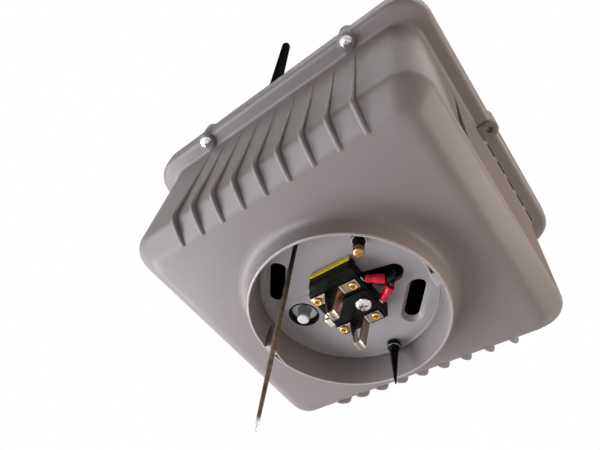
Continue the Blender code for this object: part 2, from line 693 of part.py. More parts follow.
def plug_base():
    x, y = PLUG_CENTRE
    half_x, half_y = PLUG_LENGTH / 2, PLUG_WIDTH / 2
    bm = bmesh.new()
    add_box(bm, (x - half_x, y - half_y, PLUG_FACE), (x + half_x, y + half_y, PLUG_HIGH), 2.2)
    base = add_object("plug_base", bm, "black")

    raised = bmesh.new()
    add_box(raised, (x - 6.5, -5.8, PLUG_FACE - PLUG_HUB_RISE),
            (x + half_x - 0.6, 6.4, PLUG_FACE + 1.0), 1.4)
    bar_y = y - half_y
    add_box(raised, (x - half_x + 3.0, bar_y - PLUG_BAR_WIDTH, PLUG_FACE - 0.6),
            (x + half_x + 0.8, bar_y + 1.0, PLUG_HIGH - 0.02), 2.0)
    boolean(base, add_object("plug_raised", raised), "UNION")

    holes = bmesh.new()
    add_cylinder(holes, *PLUG_SCREW_POINT, PLUG_FACE - 4, PLUG_HIGH + 2, PLUG_SCREW_SHANK + GAP, 12)
    for point in EYELET_POINTS:
        add_cylinder(holes, *point, PLUG_FACE - 2, PLUG_FACE + 2.8, EYELET_RADIUS - 0.7 + GAP, 12)
    boolean(base, add_object("plug_holes", holes), "DIFFERENCE")

    sockets = bmesh.new()
    for start, _, _ in CRIMPS.values():
        add_box(sockets, (start[0] - 2.7, start[1] - 1.9, CRIMP_HEIGHT - 0.8),
                (start[0] + 3.0, start[1] + 1.9, CRIMP_HEIGHT + 0.8))
    boolean(base, add_object("plug_sockets", sockets), "DIFFERENCE")
    return base


def plug_side_strip():
    """Yellow strip along the outer face of the plug's side bar."""
    x, y = PLUG_CENTRE
    face = y - PLUG_WIDTH / 2 - PLUG_BAR_WIDTH - GAP
    middle = ((x + 3.0 + 0.8) / 1.0 - 1.4, PLUG_HIGH - 1.6)
    bm = bmesh.new()
    points = [(a, b) for a, b, _ in stadium(middle, 0.0, PLUG_LENGTH - 4.0, 2.6, 0.0, 4)]
    add_prism(bm, points, 0.8, lambda a, b, c: (a, face - 0.4 + c, b))
    return add_object("plug_side_strip", bm, "yellow")


def blade_path(first_x, last_x):
    """Hat-shaped contact in the X-Z plane: foot, leg down, tip, leg back up and second foot."""
    seat = PLUG_FACE - GAP - BLADE_THICKNESS / 2
    back = BLADE_ROOT_X - BLADE_FOLD
    near, far = BLADE_TIP_X
    return [(first_x + 2.6, seat), (BLADE_ROOT_X, seat), (far + 0.2, BLADE_TIP + 1.0),
            (far - 0.7, BLADE_TIP), (near + 0.7, BLADE_TIP), (near - 0.2, BLADE_TIP + 1.0),
            (back, seat), (last_x - 2.6, seat)]


def add_blade(name, eyelets):
    """One strip folded into a blade, riveted to the plug at both ends."""
    first, last = eyelets
    side = 1 if first[1] > 0 else -1
    middle = first[1] + side * 0.2
    bm = bmesh.new()
    add_prism(bm, strip_outline(blade_path(first[0], last[0]), BLADE_THICKNESS), BLADE_WIDTH,
              lambda a, b, c: (a, middle + c, b))
    blade = add_object(name, bm, "nickel")
    holes = bmesh.new()
    for x, y in eyelets:
        add_cylinder(holes, x, y, PLUG_FACE - 3, PLUG_FACE + 1, EYELET_RADIUS - 0.7 + GAP, 12)
    boolean(blade, add_object(name + "_holes", holes), "DIFFERENCE")
    return blade


def earth_contact():
    """The short third contact at the edge of the plug: a bent strip standing on the face."""
    seat = PLUG_FACE - GAP - BLADE_THICKNESS / 2
    x = PLUG_CENTRE[0] - PLUG_LENGTH / 2
    path = [(x + 6.0, seat), (x + 2.8, seat), (x + 1.2, seat - 0.8), (x + 0.6, seat - 2.6),
            (x + 1.2, seat - 4.4), (x + 2.8, seat - 5.2), (x + 4.6, seat - 5.2)]
    bm = bmesh.new()
    add_prism(bm, strip_outline(path, BLADE_THICKNESS), 5.0, lambda a, b, c: (a, 0.2 + c, b))
    return add_object("earth_contact", bm, "nickel")


def eyelets():
    """Brass eyelets that rivet the contacts to the plug."""
    seat = PLUG_FACE - 2 * GAP - BLADE_THICKNESS
    shank = EYELET_RADIUS - 0.7
    profile = [(EYELET_BORE, PLUG_FACE + 2.2), (shank, PLUG_FACE + 2.2), (shank, seat),
               (EYELET_RADIUS, seat), (EYELET_RADIUS - 0.5, seat - 0.9), (EYELET_BORE, seat - 0.6)]
    for number, (x, y) in enumerate(EYELET_POINTS, 1):
        turned(f"eyelet_{number}", profile, "brass", (x, y, 0.0), 12)


def plug_screw():
    seat = PLUG_FACE - PLUG_HUB_RISE - GAP
    length = PLATE_HIGH + 5.5 - seat
    return turned("plug_screw", screw_profile(4.1, 2.4, PLUG_SCREW_SHANK, length), "zinc",
                  (*PLUG_SCREW_POINT, seat))


def plug_nut():
    bm = bmesh.new()
    low = PLATE_HIGH + GAP
    add_cylinder(bm, *PLUG_SCREW_POINT, low, low + 3.2, 4.04, 6)
    nut = add_object("plug_nut", bm, "zinc")
    bore = bmesh.new()
    add_cylinder(bore, *PLUG_SCREW_POINT, low - 1, low + 5, PLUG_SCREW_SHANK + GAP, 12)
    boolean(nut, add_object("nut_bore", bore), "DIFFERENCE")
    return nut


# Each crimp: its end at the plug, the direction it points away in, in degrees, and its lead's route.
CRIMPS = {
    "line": ((14.9, -9.7), 31.0, (
        (25.6, -3.2, -2.5), (27.6, -2.4, -0.6), (27.9, -2.7, 3.0), (27.6, -3.0, 8.0), (24.0, -10.0, 16.0),
        (14.0, -34.0, 22.0), (6.0, -56.0, 23.0), (1.0, -68.0, 26.0), (0.0, -72.0, 33.0),
        (0.0, -71.0, 39.5), (0.0, -67.0, 41.6), (0.0, -64.3, 41.6))),
    "load": ((15.2, 7.2), -35.0, (
        (25.1, 0.3, -2.5), (25.8, 0.3, -0.8), (25.8, 0.5, 3.0), (25.6, 0.8, 8.0), (29.0, -6.0, 15.0),
        (26.0, -30.0, 20.0), (14.0, -56.0, 21.5), (9.0, -68.0, 25.0), (8.0, -72.0, 33.0),
        (8.0, -71.0, 39.5), (8.0, -67.0, 41.6), (8.0, -64.3, 41.6))),
}


def crimp_end(start, angle, along):
    turn = math.radians(angle)
    return (start[0] + along * math.cos(turn), start[1] + along * math.sin(turn), CRIMP_HEIGHT)


def crimp_sleeve(name, crimp):
    """Red insulating sleeve of a push-on terminal."""
    start, angle, _ = crimp
    middle = crimp_end(start, angle, CRIMP_LENGTH / 2 + 0.6)
    turn = Matrix.Rotation(math.radians(angle), 4, "Z") @ Matrix.Rotation(math.pi / 2, 4, "Y")
    bm = bmesh.new()
    bmesh.ops.create_cone(bm, cap_ends=True, segments=16, radius1=CRIMP_RADIUS * 0.86,
                          radius2=CRIMP_RADIUS, depth=CRIMP_LENGTH - 1.2,
                          matrix=Matrix.Translation(middle) @ turn)
    return add_object(name, bm, "red")


def crimp_tongue(name, crimp):
    """Flat tongue between a sleeve and the plug's side socket."""
    start = crimp[0]
    bm = bmesh.new()
    add_box(bm, (start[0] - 2.3, start[1] - 1.5, CRIMP_HEIGHT - 0.4),
            (start[0] + 0.1, start[1] + 1.5, CRIMP_HEIGHT + 0.4))
    return add_object(name, bm, "zinc")


def plug_lead(name, crimp):
    start, angle, route = crimp
    near = crimp_end(start, angle, CRIMP_LENGTH + 0.6)
    return tube(name, (near,) + route, LEAD_RADIUS, "black")


# ---------------------------------------------------------------- adjusting screws and guide rod
def screw_insert(name, point):
    """Pressed metal bush that an adjusting screw runs in."""
    collar_top = PLATE_LOW - GAP
    shank = INSERT_RADIUS - 0.4
    bore = JACK_RADIUS + 0.1
    profile = [(shank, PLATE_HIGH + 1.0), (shank, collar_top), (INSERT_RADIUS, collar_top),
               (INSERT_RADIUS, INSERT_FACE + 0.4), (INSERT_RADIUS - 0.3, INSERT_FACE),
               (bore + 0.1, INSERT_FACE), (bore, INSERT_FACE + 0.3), (bore, PLATE_HIGH + 1.0)]
    return turned(name, profile, "zinc", (*point, 0.0))


def pointed_screw():
    """Long cone below the bush, plain shank inside it."""
    tip = POINTED_SCREW_TIP
    profile = [(0.0, 12.0), (JACK_RADIUS - 0.4, 12.0), (JACK_RADIUS, 11.5), (JACK_RADIUS, INSERT_FACE - 1.0),
               (JACK_RADIUS - 0.3, INSERT_FACE - 2.0), (0.45, tip + 1.0), (0.0, tip)]
    return turned("pointed_screw", profile, "black_steel", (*POINTED_SCREW_POINT, 0.0))


def brass_tip_screw():
    low = BRASS_SCREW_TIP + 4.0
    profile = [(0.0, 13.0), (JACK_RADIUS - 0.4, 13.0), (JACK_RADIUS, 12.5), (JACK_RADIUS, low), (0.0, low)]
    return turned("brass_tip_screw", profile, "black_steel", (*BRASS_SCREW_POINT, 0.0))


def brass_tip():
    tip = BRASS_SCREW_TIP
    high = tip + 4.0 - GAP
    profile = [(0.0, high), (JACK_RADIUS, high), (JACK_RADIUS + 0.15, high - 0.8),
               (JACK_RADIUS, tip + 1.0), (JACK_RADIUS - 1.0, tip), (0.0, tip)]
    return turned("brass_tip", profile, "brass", (*BRASS_SCREW_POINT, 0.0))


def guide_rod():
    """A thin rod through the plate, headed inside, that hangs far below the collar."""
    radius, tip = GUIDE_ROD_RADIUS, GUIDE_ROD_TIP
    seat = PLATE_HIGH + GAP
    profile = [(0.0, seat + 2.4), (2.6, seat + 2.2), (2.8, seat), (radius, seat), (radius, GUIDE_ROD_TAPER),
               (0.62 * radius, tip + 5.0), (0.5 * radius, tip + 1.0), (0.0, tip)]
    return turned("guide_rod", profile, "rod", (*GUIDE_ROD_POINT, 0.0), 12)


# ---------------------------------------------------------------- antenna
EAR_INNER = TONGUE_THICKNESS / 2 + GAP
EAR_OUTER = EAR_INNER + 3.0
EAR_RADIUS = 4.8
COUPLING_LOW = HEX_HIGH + GAP
COUPLING_HIGH = PIVOT_HEIGHT - 11.5


def antenna_connector():
    """Bulkhead connector through the cover: hex shoulder outside, thread both ways."""
    bm = bmesh.new()
    add_cylinder(bm, *ANTENNA_POINT, HEX_LOW, HEX_HIGH, 6.4, 6)
    body = add_object("antenna_connector", bm, "nickel")
    stem = bmesh.new()
    add_cylinder(stem, *ANTENNA_POINT, COVER_CROWN - CONNECTOR_TAIL, HEX_LOW + 1.0, CONNECTOR_RADIUS,
                 16)
    add_cylinder(stem, *ANTENNA_POINT, HEX_HIGH - 1.0, COUPLING_HIGH - 2.0, CONNECTOR_RADIUS, 16)
    boolean(body, add_object("connector_stem", stem), "UNION")
    return body


def ring(name, point, low, high, inner, outer, finish, steps=SMALL_STEPS):
    profile = [(outer, high), (outer, low), (inner, low), (inner, high)]
    return turned(name, profile, finish, (*point, 0.0), steps)


def antenna_seal():
    return ring("antenna_seal", ANTENNA_POINT, PAD_TOP + GAP, PAD_TOP + GAP + SEAL_THICKNESS,
                CONNECTOR_RADIUS + GAP, 8.2, "rubber")


def antenna_lock_nut():
    """Hex nut that clamps the connector from inside the cover."""
    top = COVER_CROWN - COVER_SKIN - 4.0 - GAP
    bm = bmesh.new()
    add_cylinder(bm, *ANTENNA_POINT, top - 2.8, top, 6.0, 6)
    nut = add_object("antenna_lock_nut", bm, "nickel")
    bore = bmesh.new()
    add_cylinder(bore, *ANTENNA_POINT, top - 4, top + 1, CONNECTOR_RADIUS + GAP, 16)
    boolean(nut, add_object("lock_nut_bore", bore), "DIFFERENCE")
    return nut


def antenna_coupling():
    """Knurled nut of the antenna, screwed down on the connector."""
    inner = CONNECTOR_RADIUS + GAP
    low, high = COUPLING_LOW, COUPLING_HIGH - GAP
    profile = [(inner, high), (5.2, high), (5.6, high - 0.6), (5.6, low + 0.6), (5.2, low), (inner, low)]
    return turned("antenna_coupling", profile, "nickel", (*ANTENNA_POINT, 0.0))


def antenna_swivel():
    """Turning foot of the antenna with the two ears of its knuckle."""
    bm = bmesh.new()
    low, high = COUPLING_HIGH - PIVOT_HEIGHT, -EAR_RADIUS - 0.9
    add_cylinder(bm, 0, 0, low, high, 6.2)
    foot = add_object("antenna_swivel", bm, "black", (*ANTENNA_POINT, PIVOT_HEIGHT))
    ears = bmesh.new()
    rounding = [(EAR_RADIUS * math.cos(math.pi * step / 8), EAR_RADIUS * math.sin(math.pi * step / 8))
                for step in range(9)]
    for side in (-1, 1):
        add_prism(ears, rounding + [(-EAR_RADIUS, high - 1.5), (EAR_RADIUS, high - 1.5)],
                  EAR_OUTER - EAR_INNER,
                  lambda a, b, c: (side * (EAR_INNER + EAR_OUTER) / 2 + c, a, b))
    ears_item = add_object("knuckle_ears", ears, None, (*ANTENNA_POINT, PIVOT_HEIGHT))
    boolean(foot, ears_item, "UNION")
    bore = bmesh.new()
    turn = Matrix.Rotation(math.pi / 2, 4, "Y")
    bmesh.ops.create_cone(bore, cap_ends=True, segments=12, radius1=PIVOT_PIN_RADIUS + GAP,
                          radius2=PIVOT_PIN_RADIUS + GAP, depth=30, matrix=turn)
    boolean(foot, add_object("ear_bore", bore, None, (*ANTENNA_POINT, PIVOT_HEIGHT)), "DIFFERENCE")
    return foot


def antenna_pivot_pin():
    bm = bmesh.new()
    turn = Matrix.Rotation(math.pi / 2, 4, "Y")
    bmesh.ops.create_cone(bm, cap_ends=True, segments=12, radius1=PIVOT_PIN_RADIUS,
                          radius2=PIVOT_PIN_RADIUS, depth=2 * EAR_OUTER + 0.4, matrix=turn)
    return add_object("antenna_pivot_pin", bm, "zinc", (*ANTENNA_POINT, PIVOT_HEIGHT))


def antenna_whip():
    """Tapered whip with a round end, on a flat tongue that turns on the pivot."""
    shoulder = 10.5
    bm = bmesh.new()
    rounding = [(-EAR_RADIUS * math.cos(math.pi * step / 8), -EAR_RADIUS * math.sin(math.pi * step / 8))
                for step in range(9)]
    add_prism(bm, rounding + [(EAR_RADIUS - 0.6, shoulder + 2.0), (-EAR_RADIUS + 0.6, shoulder + 2.0)],
              TONGUE_THICKNESS, lambda a, b, c: (c, a, b))
    lean = math.radians(ANTENNA_LEAN)
    place = (*ANTENNA_POINT, PIVOT_HEIGHT)
    tongue = add_object("antenna_whip", bm, "black", place, lean)

    base, tip = WHIP_BASE_RADIUS, WHIP_TIP_RADIUS
    dome = [(tip * math.cos(math.radians(angle)), WHIP_LENGTH - tip + tip * math.sin(math.radians(angle)))
            for angle in (67, 45, 22, 0)]
    profile = [(0.0, WHIP_LENGTH)] + dome + [
        (base - 0.5, shoulder + 22.0), (base, shoulder + 20.0), (base, shoulder + 1.0),
        (base - 0.8, shoulder), (0.0, shoulder)]
    body = turned("whip_blank", profile, None, place)
    body.rotation_euler = (lean, 0.0, 0.0)
    boolean(tongue, body, "UNION")

    bore = bmesh.new()
    turn = Matrix.Rotation(math.pi / 2, 4, "Y")
    bmesh.ops.create_cone(bore, cap_ends=True, segments=12, radius1=PIVOT_PIN_RADIUS + GAP,
                          radius2=PIVOT_PIN_RADIUS + GAP, depth=30, matrix=turn)
    boolean(tongue, add_object("tongue_bore", bore, None, place, lean), "DIFFERENCE")
    return tongue


# ---------------------------------------------------------------- electronics inside
BOARD_TOP = BOARD_HEIGHT + BOARD_THICKNESS
BOARD_SCREW_RADIUS = 1.5
BOARD_SCREW_LENGTH = 7.0
TERMINAL_PLACE = (4.0, -58.0)
TERMINAL_SIZE = (22.0, 12.0, 12.0)
TRANSFORMER_PLACE = (40.0, -34.0)
TRANSFORMER_SIZE = (36.0, 30.0, 28.0)
FUSE_PLACE = (-36.0, -58.0)
FUSE_SIZE = (26.0, 9.0, 10.0)
RADIO_SHIELD_PLACE = (-16.0, 8.0)
RADIO_SHIELD_SIZE = (64.0, 46.0, 7.4)
PROCESSOR_SHIELD_PLACE = (44.0, 26.0)
PROCESSOR_SHIELD_SIZE = (40.0, 44.0, 5.6)
CAPACITOR_RADIUS = 7.5
CAPACITOR_LENGTH = 25.0
CAPACITOR_LINE = -40.0       # both stand on this line across the board
CAPACITOR_FIRST = -50.0
CAPACITOR_SPACING = 20.0
ABSORBER_PLACE = (-15.0, -47.0)
ABSORBER_RADIUS = 8.0
ABSORBER_THICKNESS = 5.0
PIGTAIL_RADIUS = 1.2
PIGTAIL_START = (-12.0, 4.0)


def board_corners():
    x = BOARD_LENGTH / 2 - POST_INSET
    y = BOARD_WIDTH / 2 - POST_INSET
    return [(TUB_CENTRE[0] + sx * x, TUB_CENTRE[1] + sy * y) for sx in (-1, 1) for sy in (-1, 1)]


def posts():
    bm = bmesh.new()
    for x, y in board_corners():
        add_cylinder(bm, x, y, TUB_FLOOR - 1.0, BOARD_HEIGHT - GAP, POST_RADIUS, 12)
    return add_object("post_blanks", bm)


def main_board():
    bm = bmesh.new()
    x, y = TUB_CENTRE
    add_box(bm, (x - BOARD_LENGTH / 2, y - BOARD_WIDTH / 2, BOARD_HEIGHT),
            (x + BOARD_LENGTH / 2, y + BOARD_WIDTH / 2, BOARD_TOP), 4.0)
    item = add_object("main_board", bm, "board")
    holes = bmesh.new()
    for point in board_corners():
        add_cylinder(holes, *point, BOARD_HEIGHT - 2, BOARD_TOP + 2, BOARD_SCREW_RADIUS + GAP, 10)
    boolean(item, add_object("board_holes", holes), "DIFFERENCE")
    return item


def board_screws():
    """Screws through the board into the tub's posts."""
    profile = [(0.0, 2.0), (2.0, 1.8), (2.8, 1.0), (2.8, 0.0), (BOARD_SCREW_RADIUS, 0.0),
               (BOARD_SCREW_RADIUS, 0.8 - BOARD_SCREW_LENGTH), (0.0, -BOARD_SCREW_LENGTH)]
    for number, (x, y) in enumerate(board_corners(), 1):
        turned(f"board_screw_{number}", profile, "zinc", (x, y, BOARD_TOP + GAP), 8)


def component(name, finish, centre, size, bevel=0.0):
    """A boxy electronic part standing on the board."""
    base = BOARD_TOP + GAP
    bm = bmesh.new()
    add_box(bm, (centre[0] - size[0] / 2, centre[1] - size[1] / 2, base),
            (centre[0] + size[0] / 2, centre[1] + size[1] / 2, base + size[2]), bevel)
    return add_object(name, bm, finish)


def power_capacitors():
    base = BOARD_TOP + GAP
    radius, length, edge = CAPACITOR_RADIUS, CAPACITOR_LENGTH, 0.6
    profile = [(0.0, length), (radius - edge, length), (radius, length - edge), (radius, edge),
               (radius - edge, 0.0), (0.0, 0.0)]
    for number in (1, 2):
        x = CAPACITOR_FIRST + CAPACITOR_SPACING * (number - 1)
        turned(f"power_capacitor_{number}", profile, "black", (x, CAPACITOR_LINE, base), 16)


def surge_absorber():
    """Disc varistor standing on edge beside the terminal."""
    radius = ABSORBER_RADIUS
    turn = Matrix.Rotation(math.pi / 2, 4, "X")
    bm = bmesh.new()
    place = Matrix.Translation((*ABSORBER_PLACE, BOARD_TOP + GAP + radius))
    bmesh.ops.create_cone(bm, cap_ends=True, segments=16, radius1=radius, radius2=radius,
                          depth=ABSORBER_THICKNESS, matrix=place @ turn)
    return add_object("surge_absorber", bm, "red")


def rf_pigtail():
    """Coaxial lead from the radio shield up to the connector in the cover."""
    x, y = ANTENNA_POINT
    from_x, from_y = PIGTAIL_START
    top = COVER_CROWN - CONNECTOR_TAIL - GAP
    start = BOARD_TOP + GAP + RADIO_SHIELD_SIZE[2] + GAP
    route = ((from_x, from_y, start), (from_x, from_y - 0.5, start + 6.0),
             (from_x - 2.0, from_y - 12.0, start + 18.0), (x + 7.7, y + 30.0, top - 16.0),
             (x, y + 5.0, top - 9.0), (x, y, top - 3.5), (x, y, top))
    return tube("rf_pigtail", route, PIGTAIL_RADIUS, "black")


def electronics():
    main_board()
    board_screws()
    component("power_terminal", "black", TERMINAL_PLACE, TERMINAL_SIZE, 0.8)
    component("transformer", "black", TRANSFORMER_PLACE, TRANSFORMER_SIZE, 2.0)
    component("fuse_holder", "black", FUSE_PLACE, FUSE_SIZE, 1.0)
    power_capacitors()
    surge_absorber()
    component("radio_shield", "aluminium", RADIO_SHIELD_PLACE, RADIO_SHIELD_SIZE, 2.0)
    component("processor_shield", "aluminium", PROCESSOR_SHIELD_PLACE, PROCESSOR_SHIELD_SIZE, 2.0)
    rf_pigtail()


# ---------------------------------------------------------------- the whole object
def build():
    lower_housing()
    top_cover()
    cover_gasket()
    cover_screws()
    recess_plate()
    plate_screws()
    sensor_cup()
    light_pipe()
    light_pipe_diffuser()
    plug_base()
    plug_side_strip()
    add_blade("line_blade", EYELET_POINTS[0:2])
    add_blade("load_blade", EYELET_POINTS[3:1:-1])
    earth_contact()
    eyelets()
    plug_screw()
    plug_nut()
    for pole, crimp in CRIMPS.items():
        crimp_sleeve(f"{pole}_crimp_sleeve", crimp)
        crimp_tongue(f"{pole}_crimp_tongue", crimp)
        plug_lead(f"{pole}_lead", crimp)
    screw_insert("pointed_screw_bush", POINTED_SCREW_POINT)
    screw_insert("brass_tip_screw_bush", BRASS_SCREW_POINT)
    pointed_screw()
    brass_tip_screw()
    brass_tip()
    guide_rod()
    antenna_connector()
    antenna_seal()
    antenna_lock_nut()
    antenna_coupling()
    antenna_swivel()
    antenna_pivot_pin()
    antenna_whip()
    electronics()


build()
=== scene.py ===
"""Looks for an outdoor access point that plugs into the locking socket on top of a street lamp.

Every piece is modelled in millimetres, scaled to metres once, and rides on its CAD body.
"""

import math

import bmesh
import bpy
from bpy.props import FloatProperty, FloatVectorProperty, IntProperty, PointerProperty
from bpy.types import Operator, Panel, PropertyGroup
from mathutils import Matrix, Vector


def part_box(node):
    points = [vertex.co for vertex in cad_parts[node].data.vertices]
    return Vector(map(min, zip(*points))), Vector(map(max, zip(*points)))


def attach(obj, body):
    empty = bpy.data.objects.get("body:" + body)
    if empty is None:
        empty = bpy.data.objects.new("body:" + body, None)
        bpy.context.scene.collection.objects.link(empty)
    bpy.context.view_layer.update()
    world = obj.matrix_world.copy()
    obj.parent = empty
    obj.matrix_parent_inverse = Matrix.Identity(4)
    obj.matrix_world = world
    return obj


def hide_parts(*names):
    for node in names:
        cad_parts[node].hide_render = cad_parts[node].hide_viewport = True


bl_info = {
    "name": "Street Lamp Access Point",
    "version": (1, 0, 0),
    "blender": (4, 5, 0),
    "location": "View3D > Sidebar > Access Point",
    "description": "Adds the pieces of an outdoor access point that plugs into a street lamp",
    "category": "Object",
}

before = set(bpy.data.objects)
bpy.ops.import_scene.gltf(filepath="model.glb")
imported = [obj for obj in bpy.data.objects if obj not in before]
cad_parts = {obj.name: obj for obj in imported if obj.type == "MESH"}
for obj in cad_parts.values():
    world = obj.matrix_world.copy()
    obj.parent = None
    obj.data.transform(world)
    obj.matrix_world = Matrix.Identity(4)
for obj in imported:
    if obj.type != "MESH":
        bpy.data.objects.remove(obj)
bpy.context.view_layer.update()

# Places and heights in millimetres, from the middle of the collar in the plane of the flat bottom.
MM = 0.001
TUB_CENTRE = (-0.75, -2.5)
TUB_HALF = (88.15, 80.0)
RIGHT_WALL = TUB_CENTRE[0] + TUB_HALF[0]
RIB_MIDDLE = 2.5
SENSOR = (-28.0, -1.0)
REFLECTOR_HEIGHT, REFLECTOR_RADIUS = 6.65, 7.1
PLUG_FACE = -5.0
EYELETS = ((10.3, -10.9), (-10.6, -11.3), (-10.0, 11.3), (9.4, 11.4))
PLUG_SCREW = (8.5, 1.2)
POINTED_SCREW = (2.0, 41.2)
BRASS_SCREW = (24.6, -28.0)
# Height and radius past which a bush's mouth takes zinc, a painted highlight.
BUSH_HIGHLIGHT_HEIGHT, BUSH_BORE = -0.4, 3.3
GUIDE_ROD = (-3.5, -40.8)
ANTENNA = (-29.7, -70.0)
PIVOT_HEIGHT = 136.9
KNUCKLE_RADIUS = 4.8
SCREWED_BOSSES = ((-50.0, -90.3), (55.0, -90.3), (-50.0, 85.3), (55.0, 85.3), (-96.7, -2.5))
EMPTY_BOSS = (95.2, -2.5)
LUG_ANGLES = (-3.3, 176.7)
CRIMP_HEIGHT = -2.7
CRIMP_END = 11.2
LEAD_RADIUS = 1.25

# The tub's wall as (outset, height) sections, up its outside and down its inside.
TUB_OUTSIDE = (
    (-16.9, 0.0), (-14.9, 0.15), (-13.1, 0.58), (-11.35, 1.3), (-9.75, 2.35), (-8.3, 3.65),
    (-2.4, 9.75), (-1.2, 11.4), (-0.4, 13.2), (0.0, 15.4), (1.95, 86.3), (2.1, 87.5), (2.5, 88.5),
    (3.2, 89.2), (4.2, 89.5), (8.0, 89.9), (9.5, 90.3), (10.5, 91.2), (11.1, 92.4), (11.35, 94.0),
    (11.7, 101.0))
TUB_INSIDE = ((8.7, 101.0), (7.7, 92.5), (-1.0, 92.5), (-3.0, 14.0), (-13.2, 3.6), (-15.2, 2.7))
TUB_FLOOR_HOLE = 56.6
TUB_FLOOR = 2.7
COVER_OUTSIDE = (
    (-62.0, 112.9), (-55.0, 112.8), (-40.0, 112.4), (-24.0, 111.8), (-12.0, 111.2), (0.0, 110.2),
    (5.0, 109.5), (7.6, 108.8), (9.6, 107.8), (10.8, 106.5), (11.4, 105.2), (11.7, 103.6),
    (11.7, 101.7), (11.4, 101.3))
COVER_INSIDE = ((8.7, 101.3), (8.1, 104.6), (3.6, 103.3), (2.0, 100.9), (2.0, 95.6), (0.2, 95.6),
                (0.2, 107.1), (-40.0, 109.4), (-62.0, 109.9))

# Slits in the flange's underside and the relief in the right wall, as (outset, height).
SLIT_COUNT, SLIT_START, SLIT_PITCH, SLIT_LENGTH = 5, 10.2, 13.5, 9.6
SLIT_OUTSETS, SLIT_HEIGHTS = (2.6, 3.25), (86.0, 91.2)
RELIEF_START, RELIEF_WIDTH = -46.1, 9.0
RELIEF = ((3.0, 80.0), (1.8, 80.0), (-2.0, 24.0), (-1.7, 20.0), (3.0, 20.0))

# A rib's crest as (inset, height), from its top down past its elbow, then its tip and its root as
# (outset, height), and the limits that keep the rounding off its tip and its root.
RIB_BEND = ((0.0, 83.5), (0.0, 14.5), (0.08, 12.6), (0.35, 11.0), (0.85, 9.5), (1.65, 8.1), (2.8, 6.8),
            (4.5, 5.4), (7.2, 3.4), (10.0, 1.65), (12.4, 0.5))
RIB_TIP = ((-11.4, 0.3), (-11.9, 0.4), (-12.3, 1.0))
RIB_ROOT = ((-2.6, 14.5), (-0.6, 30.0), (0.2, 83.5))
RIB_END, TIP_BACK, TIP_HEIGHT = -12.4, -11.8, 0.9
ROOT_OUTSET, ELBOW_HEIGHT = 0.3, 13.0

# A snap lug's outline as (degrees, radius), its springy ramp, its stop and its back, then its foot
# and height, and the height below which the collar's rim takes a lighter copy of the housing colour as a
# painted highlight.
LUG = ((-12.3, 48.9), (-9.2, 48.25), (-6.1, 47.6), (-3.0, 46.9), (-0.6, 46.3), (1.0, 46.0),
       (4.6, 45.85), (8.3, 45.9), (8.3, 49.5), (4.0, 49.5), (-0.4, 49.4), (-0.9, 47.3), (-3.6, 47.9),
       (-6.6, 48.6), (-10.3, 49.4))
LUG_FOOT, LUG_HEIGHT = -13.2, 10.2
RIM_HIGHLIGHT_HEIGHT = -12.9

# Each lead: its crimp's end at the plug, the direction it points away in, in degrees, and its route.
LEADS = {
    "line": ((14.9, -9.7), 31.0, (
        (25.6, -3.2, -2.5), (27.6, -2.4, -0.6), (27.9, -2.7, 3.0), (27.6, -3.0, 8.0), (24.0, -10.0, 16.0),
        (14.0, -34.0, 22.0), (6.0, -56.0, 23.0), (1.0, -68.0, 26.0), (0.0, -72.0, 33.0),
        (0.0, -71.0, 39.5), (0.0, -67.0, 41.6), (0.0, -64.3, 41.6))),
    "load": ((15.2, 7.2), -35.0, (
        (25.1, 0.3, -2.5), (25.8, 0.3, -0.8), (25.8, 0.5, 3.0), (25.6, 0.8, 8.0), (29.0, -6.0, 15.0),
        (26.0, -30.0, 20.0), (14.0, -56.0, 21.5), (9.0, -68.0, 25.0), (8.0, -72.0, 33.0),
        (8.0, -71.0, 39.5), (8.0, -67.0, 41.6), (8.0, -64.3, 41.6))),
}

# CAD pieces that keep their shape and only take a finish.
PAINTED = {
    "cover_gasket": "rubber", "plate_screw_1": "zinc", "plate_screw_2": "zinc", "plug_nut": "zinc",
    "antenna_lock_nut": "strip", "main_board": "board", "power_terminal": "black",
    "transformer": "epoxy", "fuse_holder": "epoxy", "power_capacitor_1": "cable",
    "power_capacitor_2": "cable", "surge_absorber": "red", "radio_shield": "can",
    "processor_shield": "can", "rf_pigtail": "cable", "board_screw_1": "zinc",
    "board_screw_2": "zinc", "board_screw_3": "zinc", "board_screw_4": "zinc",
}

# The stage, in metres: the photograph's camera, the floor and the lamps.
CAMERA_PLACE = (0.100676, -0.138395, -0.189372)
CAMERA_FORWARD = (-0.41146487, 0.38566593, 0.82580775)
CAMERA_UP = (0.44554385, -0.70531043, 0.55138723)
FOCAL_LENGTH = 29.52
FLOOR_HEIGHT = -0.62
FLOOR_HALF = 3.0
FLOOR_GLOW = 0.5
SOFT_LIGHT, SOFT_TINT = 0.12, (1.0, 0.86, 0.76, 1.0)
WHITE, DAYLIGHT = (1.0, 1.0, 1.0), (0.93, 0.97, 1.0)
LAMPS = (  # name, place, aim, width, watts, tint
    ("window_low_left", (-0.42, 0.00, -0.26), (-0.02, -0.02, 0.0), 0.32, 2.2, DAYLIGHT),
    ("window_front_left", (-0.60, -0.31, -0.32), (0.0, -0.05, 0.03), 0.30, 3.6, DAYLIGHT),
    ("sky_above", (0.1, -0.1, 0.95), (0.0, 0.0, 0.08), 0.9, 3.4, WHITE),
    ("fill_right", (0.70, 0.22, 0.04), (0.0, 0.0, 0.05), 0.5, 3.9, (1.0, 0.86, 0.75)),
    ("fill_front", (-0.10, -0.85, -0.02), (0.0, 0.0, 0.05), 0.5, 0.5, (1.0, 0.84, 0.72)),
    ("window_sheen", (-0.36, -0.72, -0.22), (0.0, -0.08, 0.02), 0.7, 10.0, (0.84, 0.93, 1.0)),
)
REFLECTION_ONLY = "window_sheen"


# ---------------------------------------------------------------- settings
def size(name, description, millimetres):
    return FloatProperty(name=name, description=description, default=millimetres * MM, min=0.0,
                         subtype="DISTANCE", unit="LENGTH", precision=4)


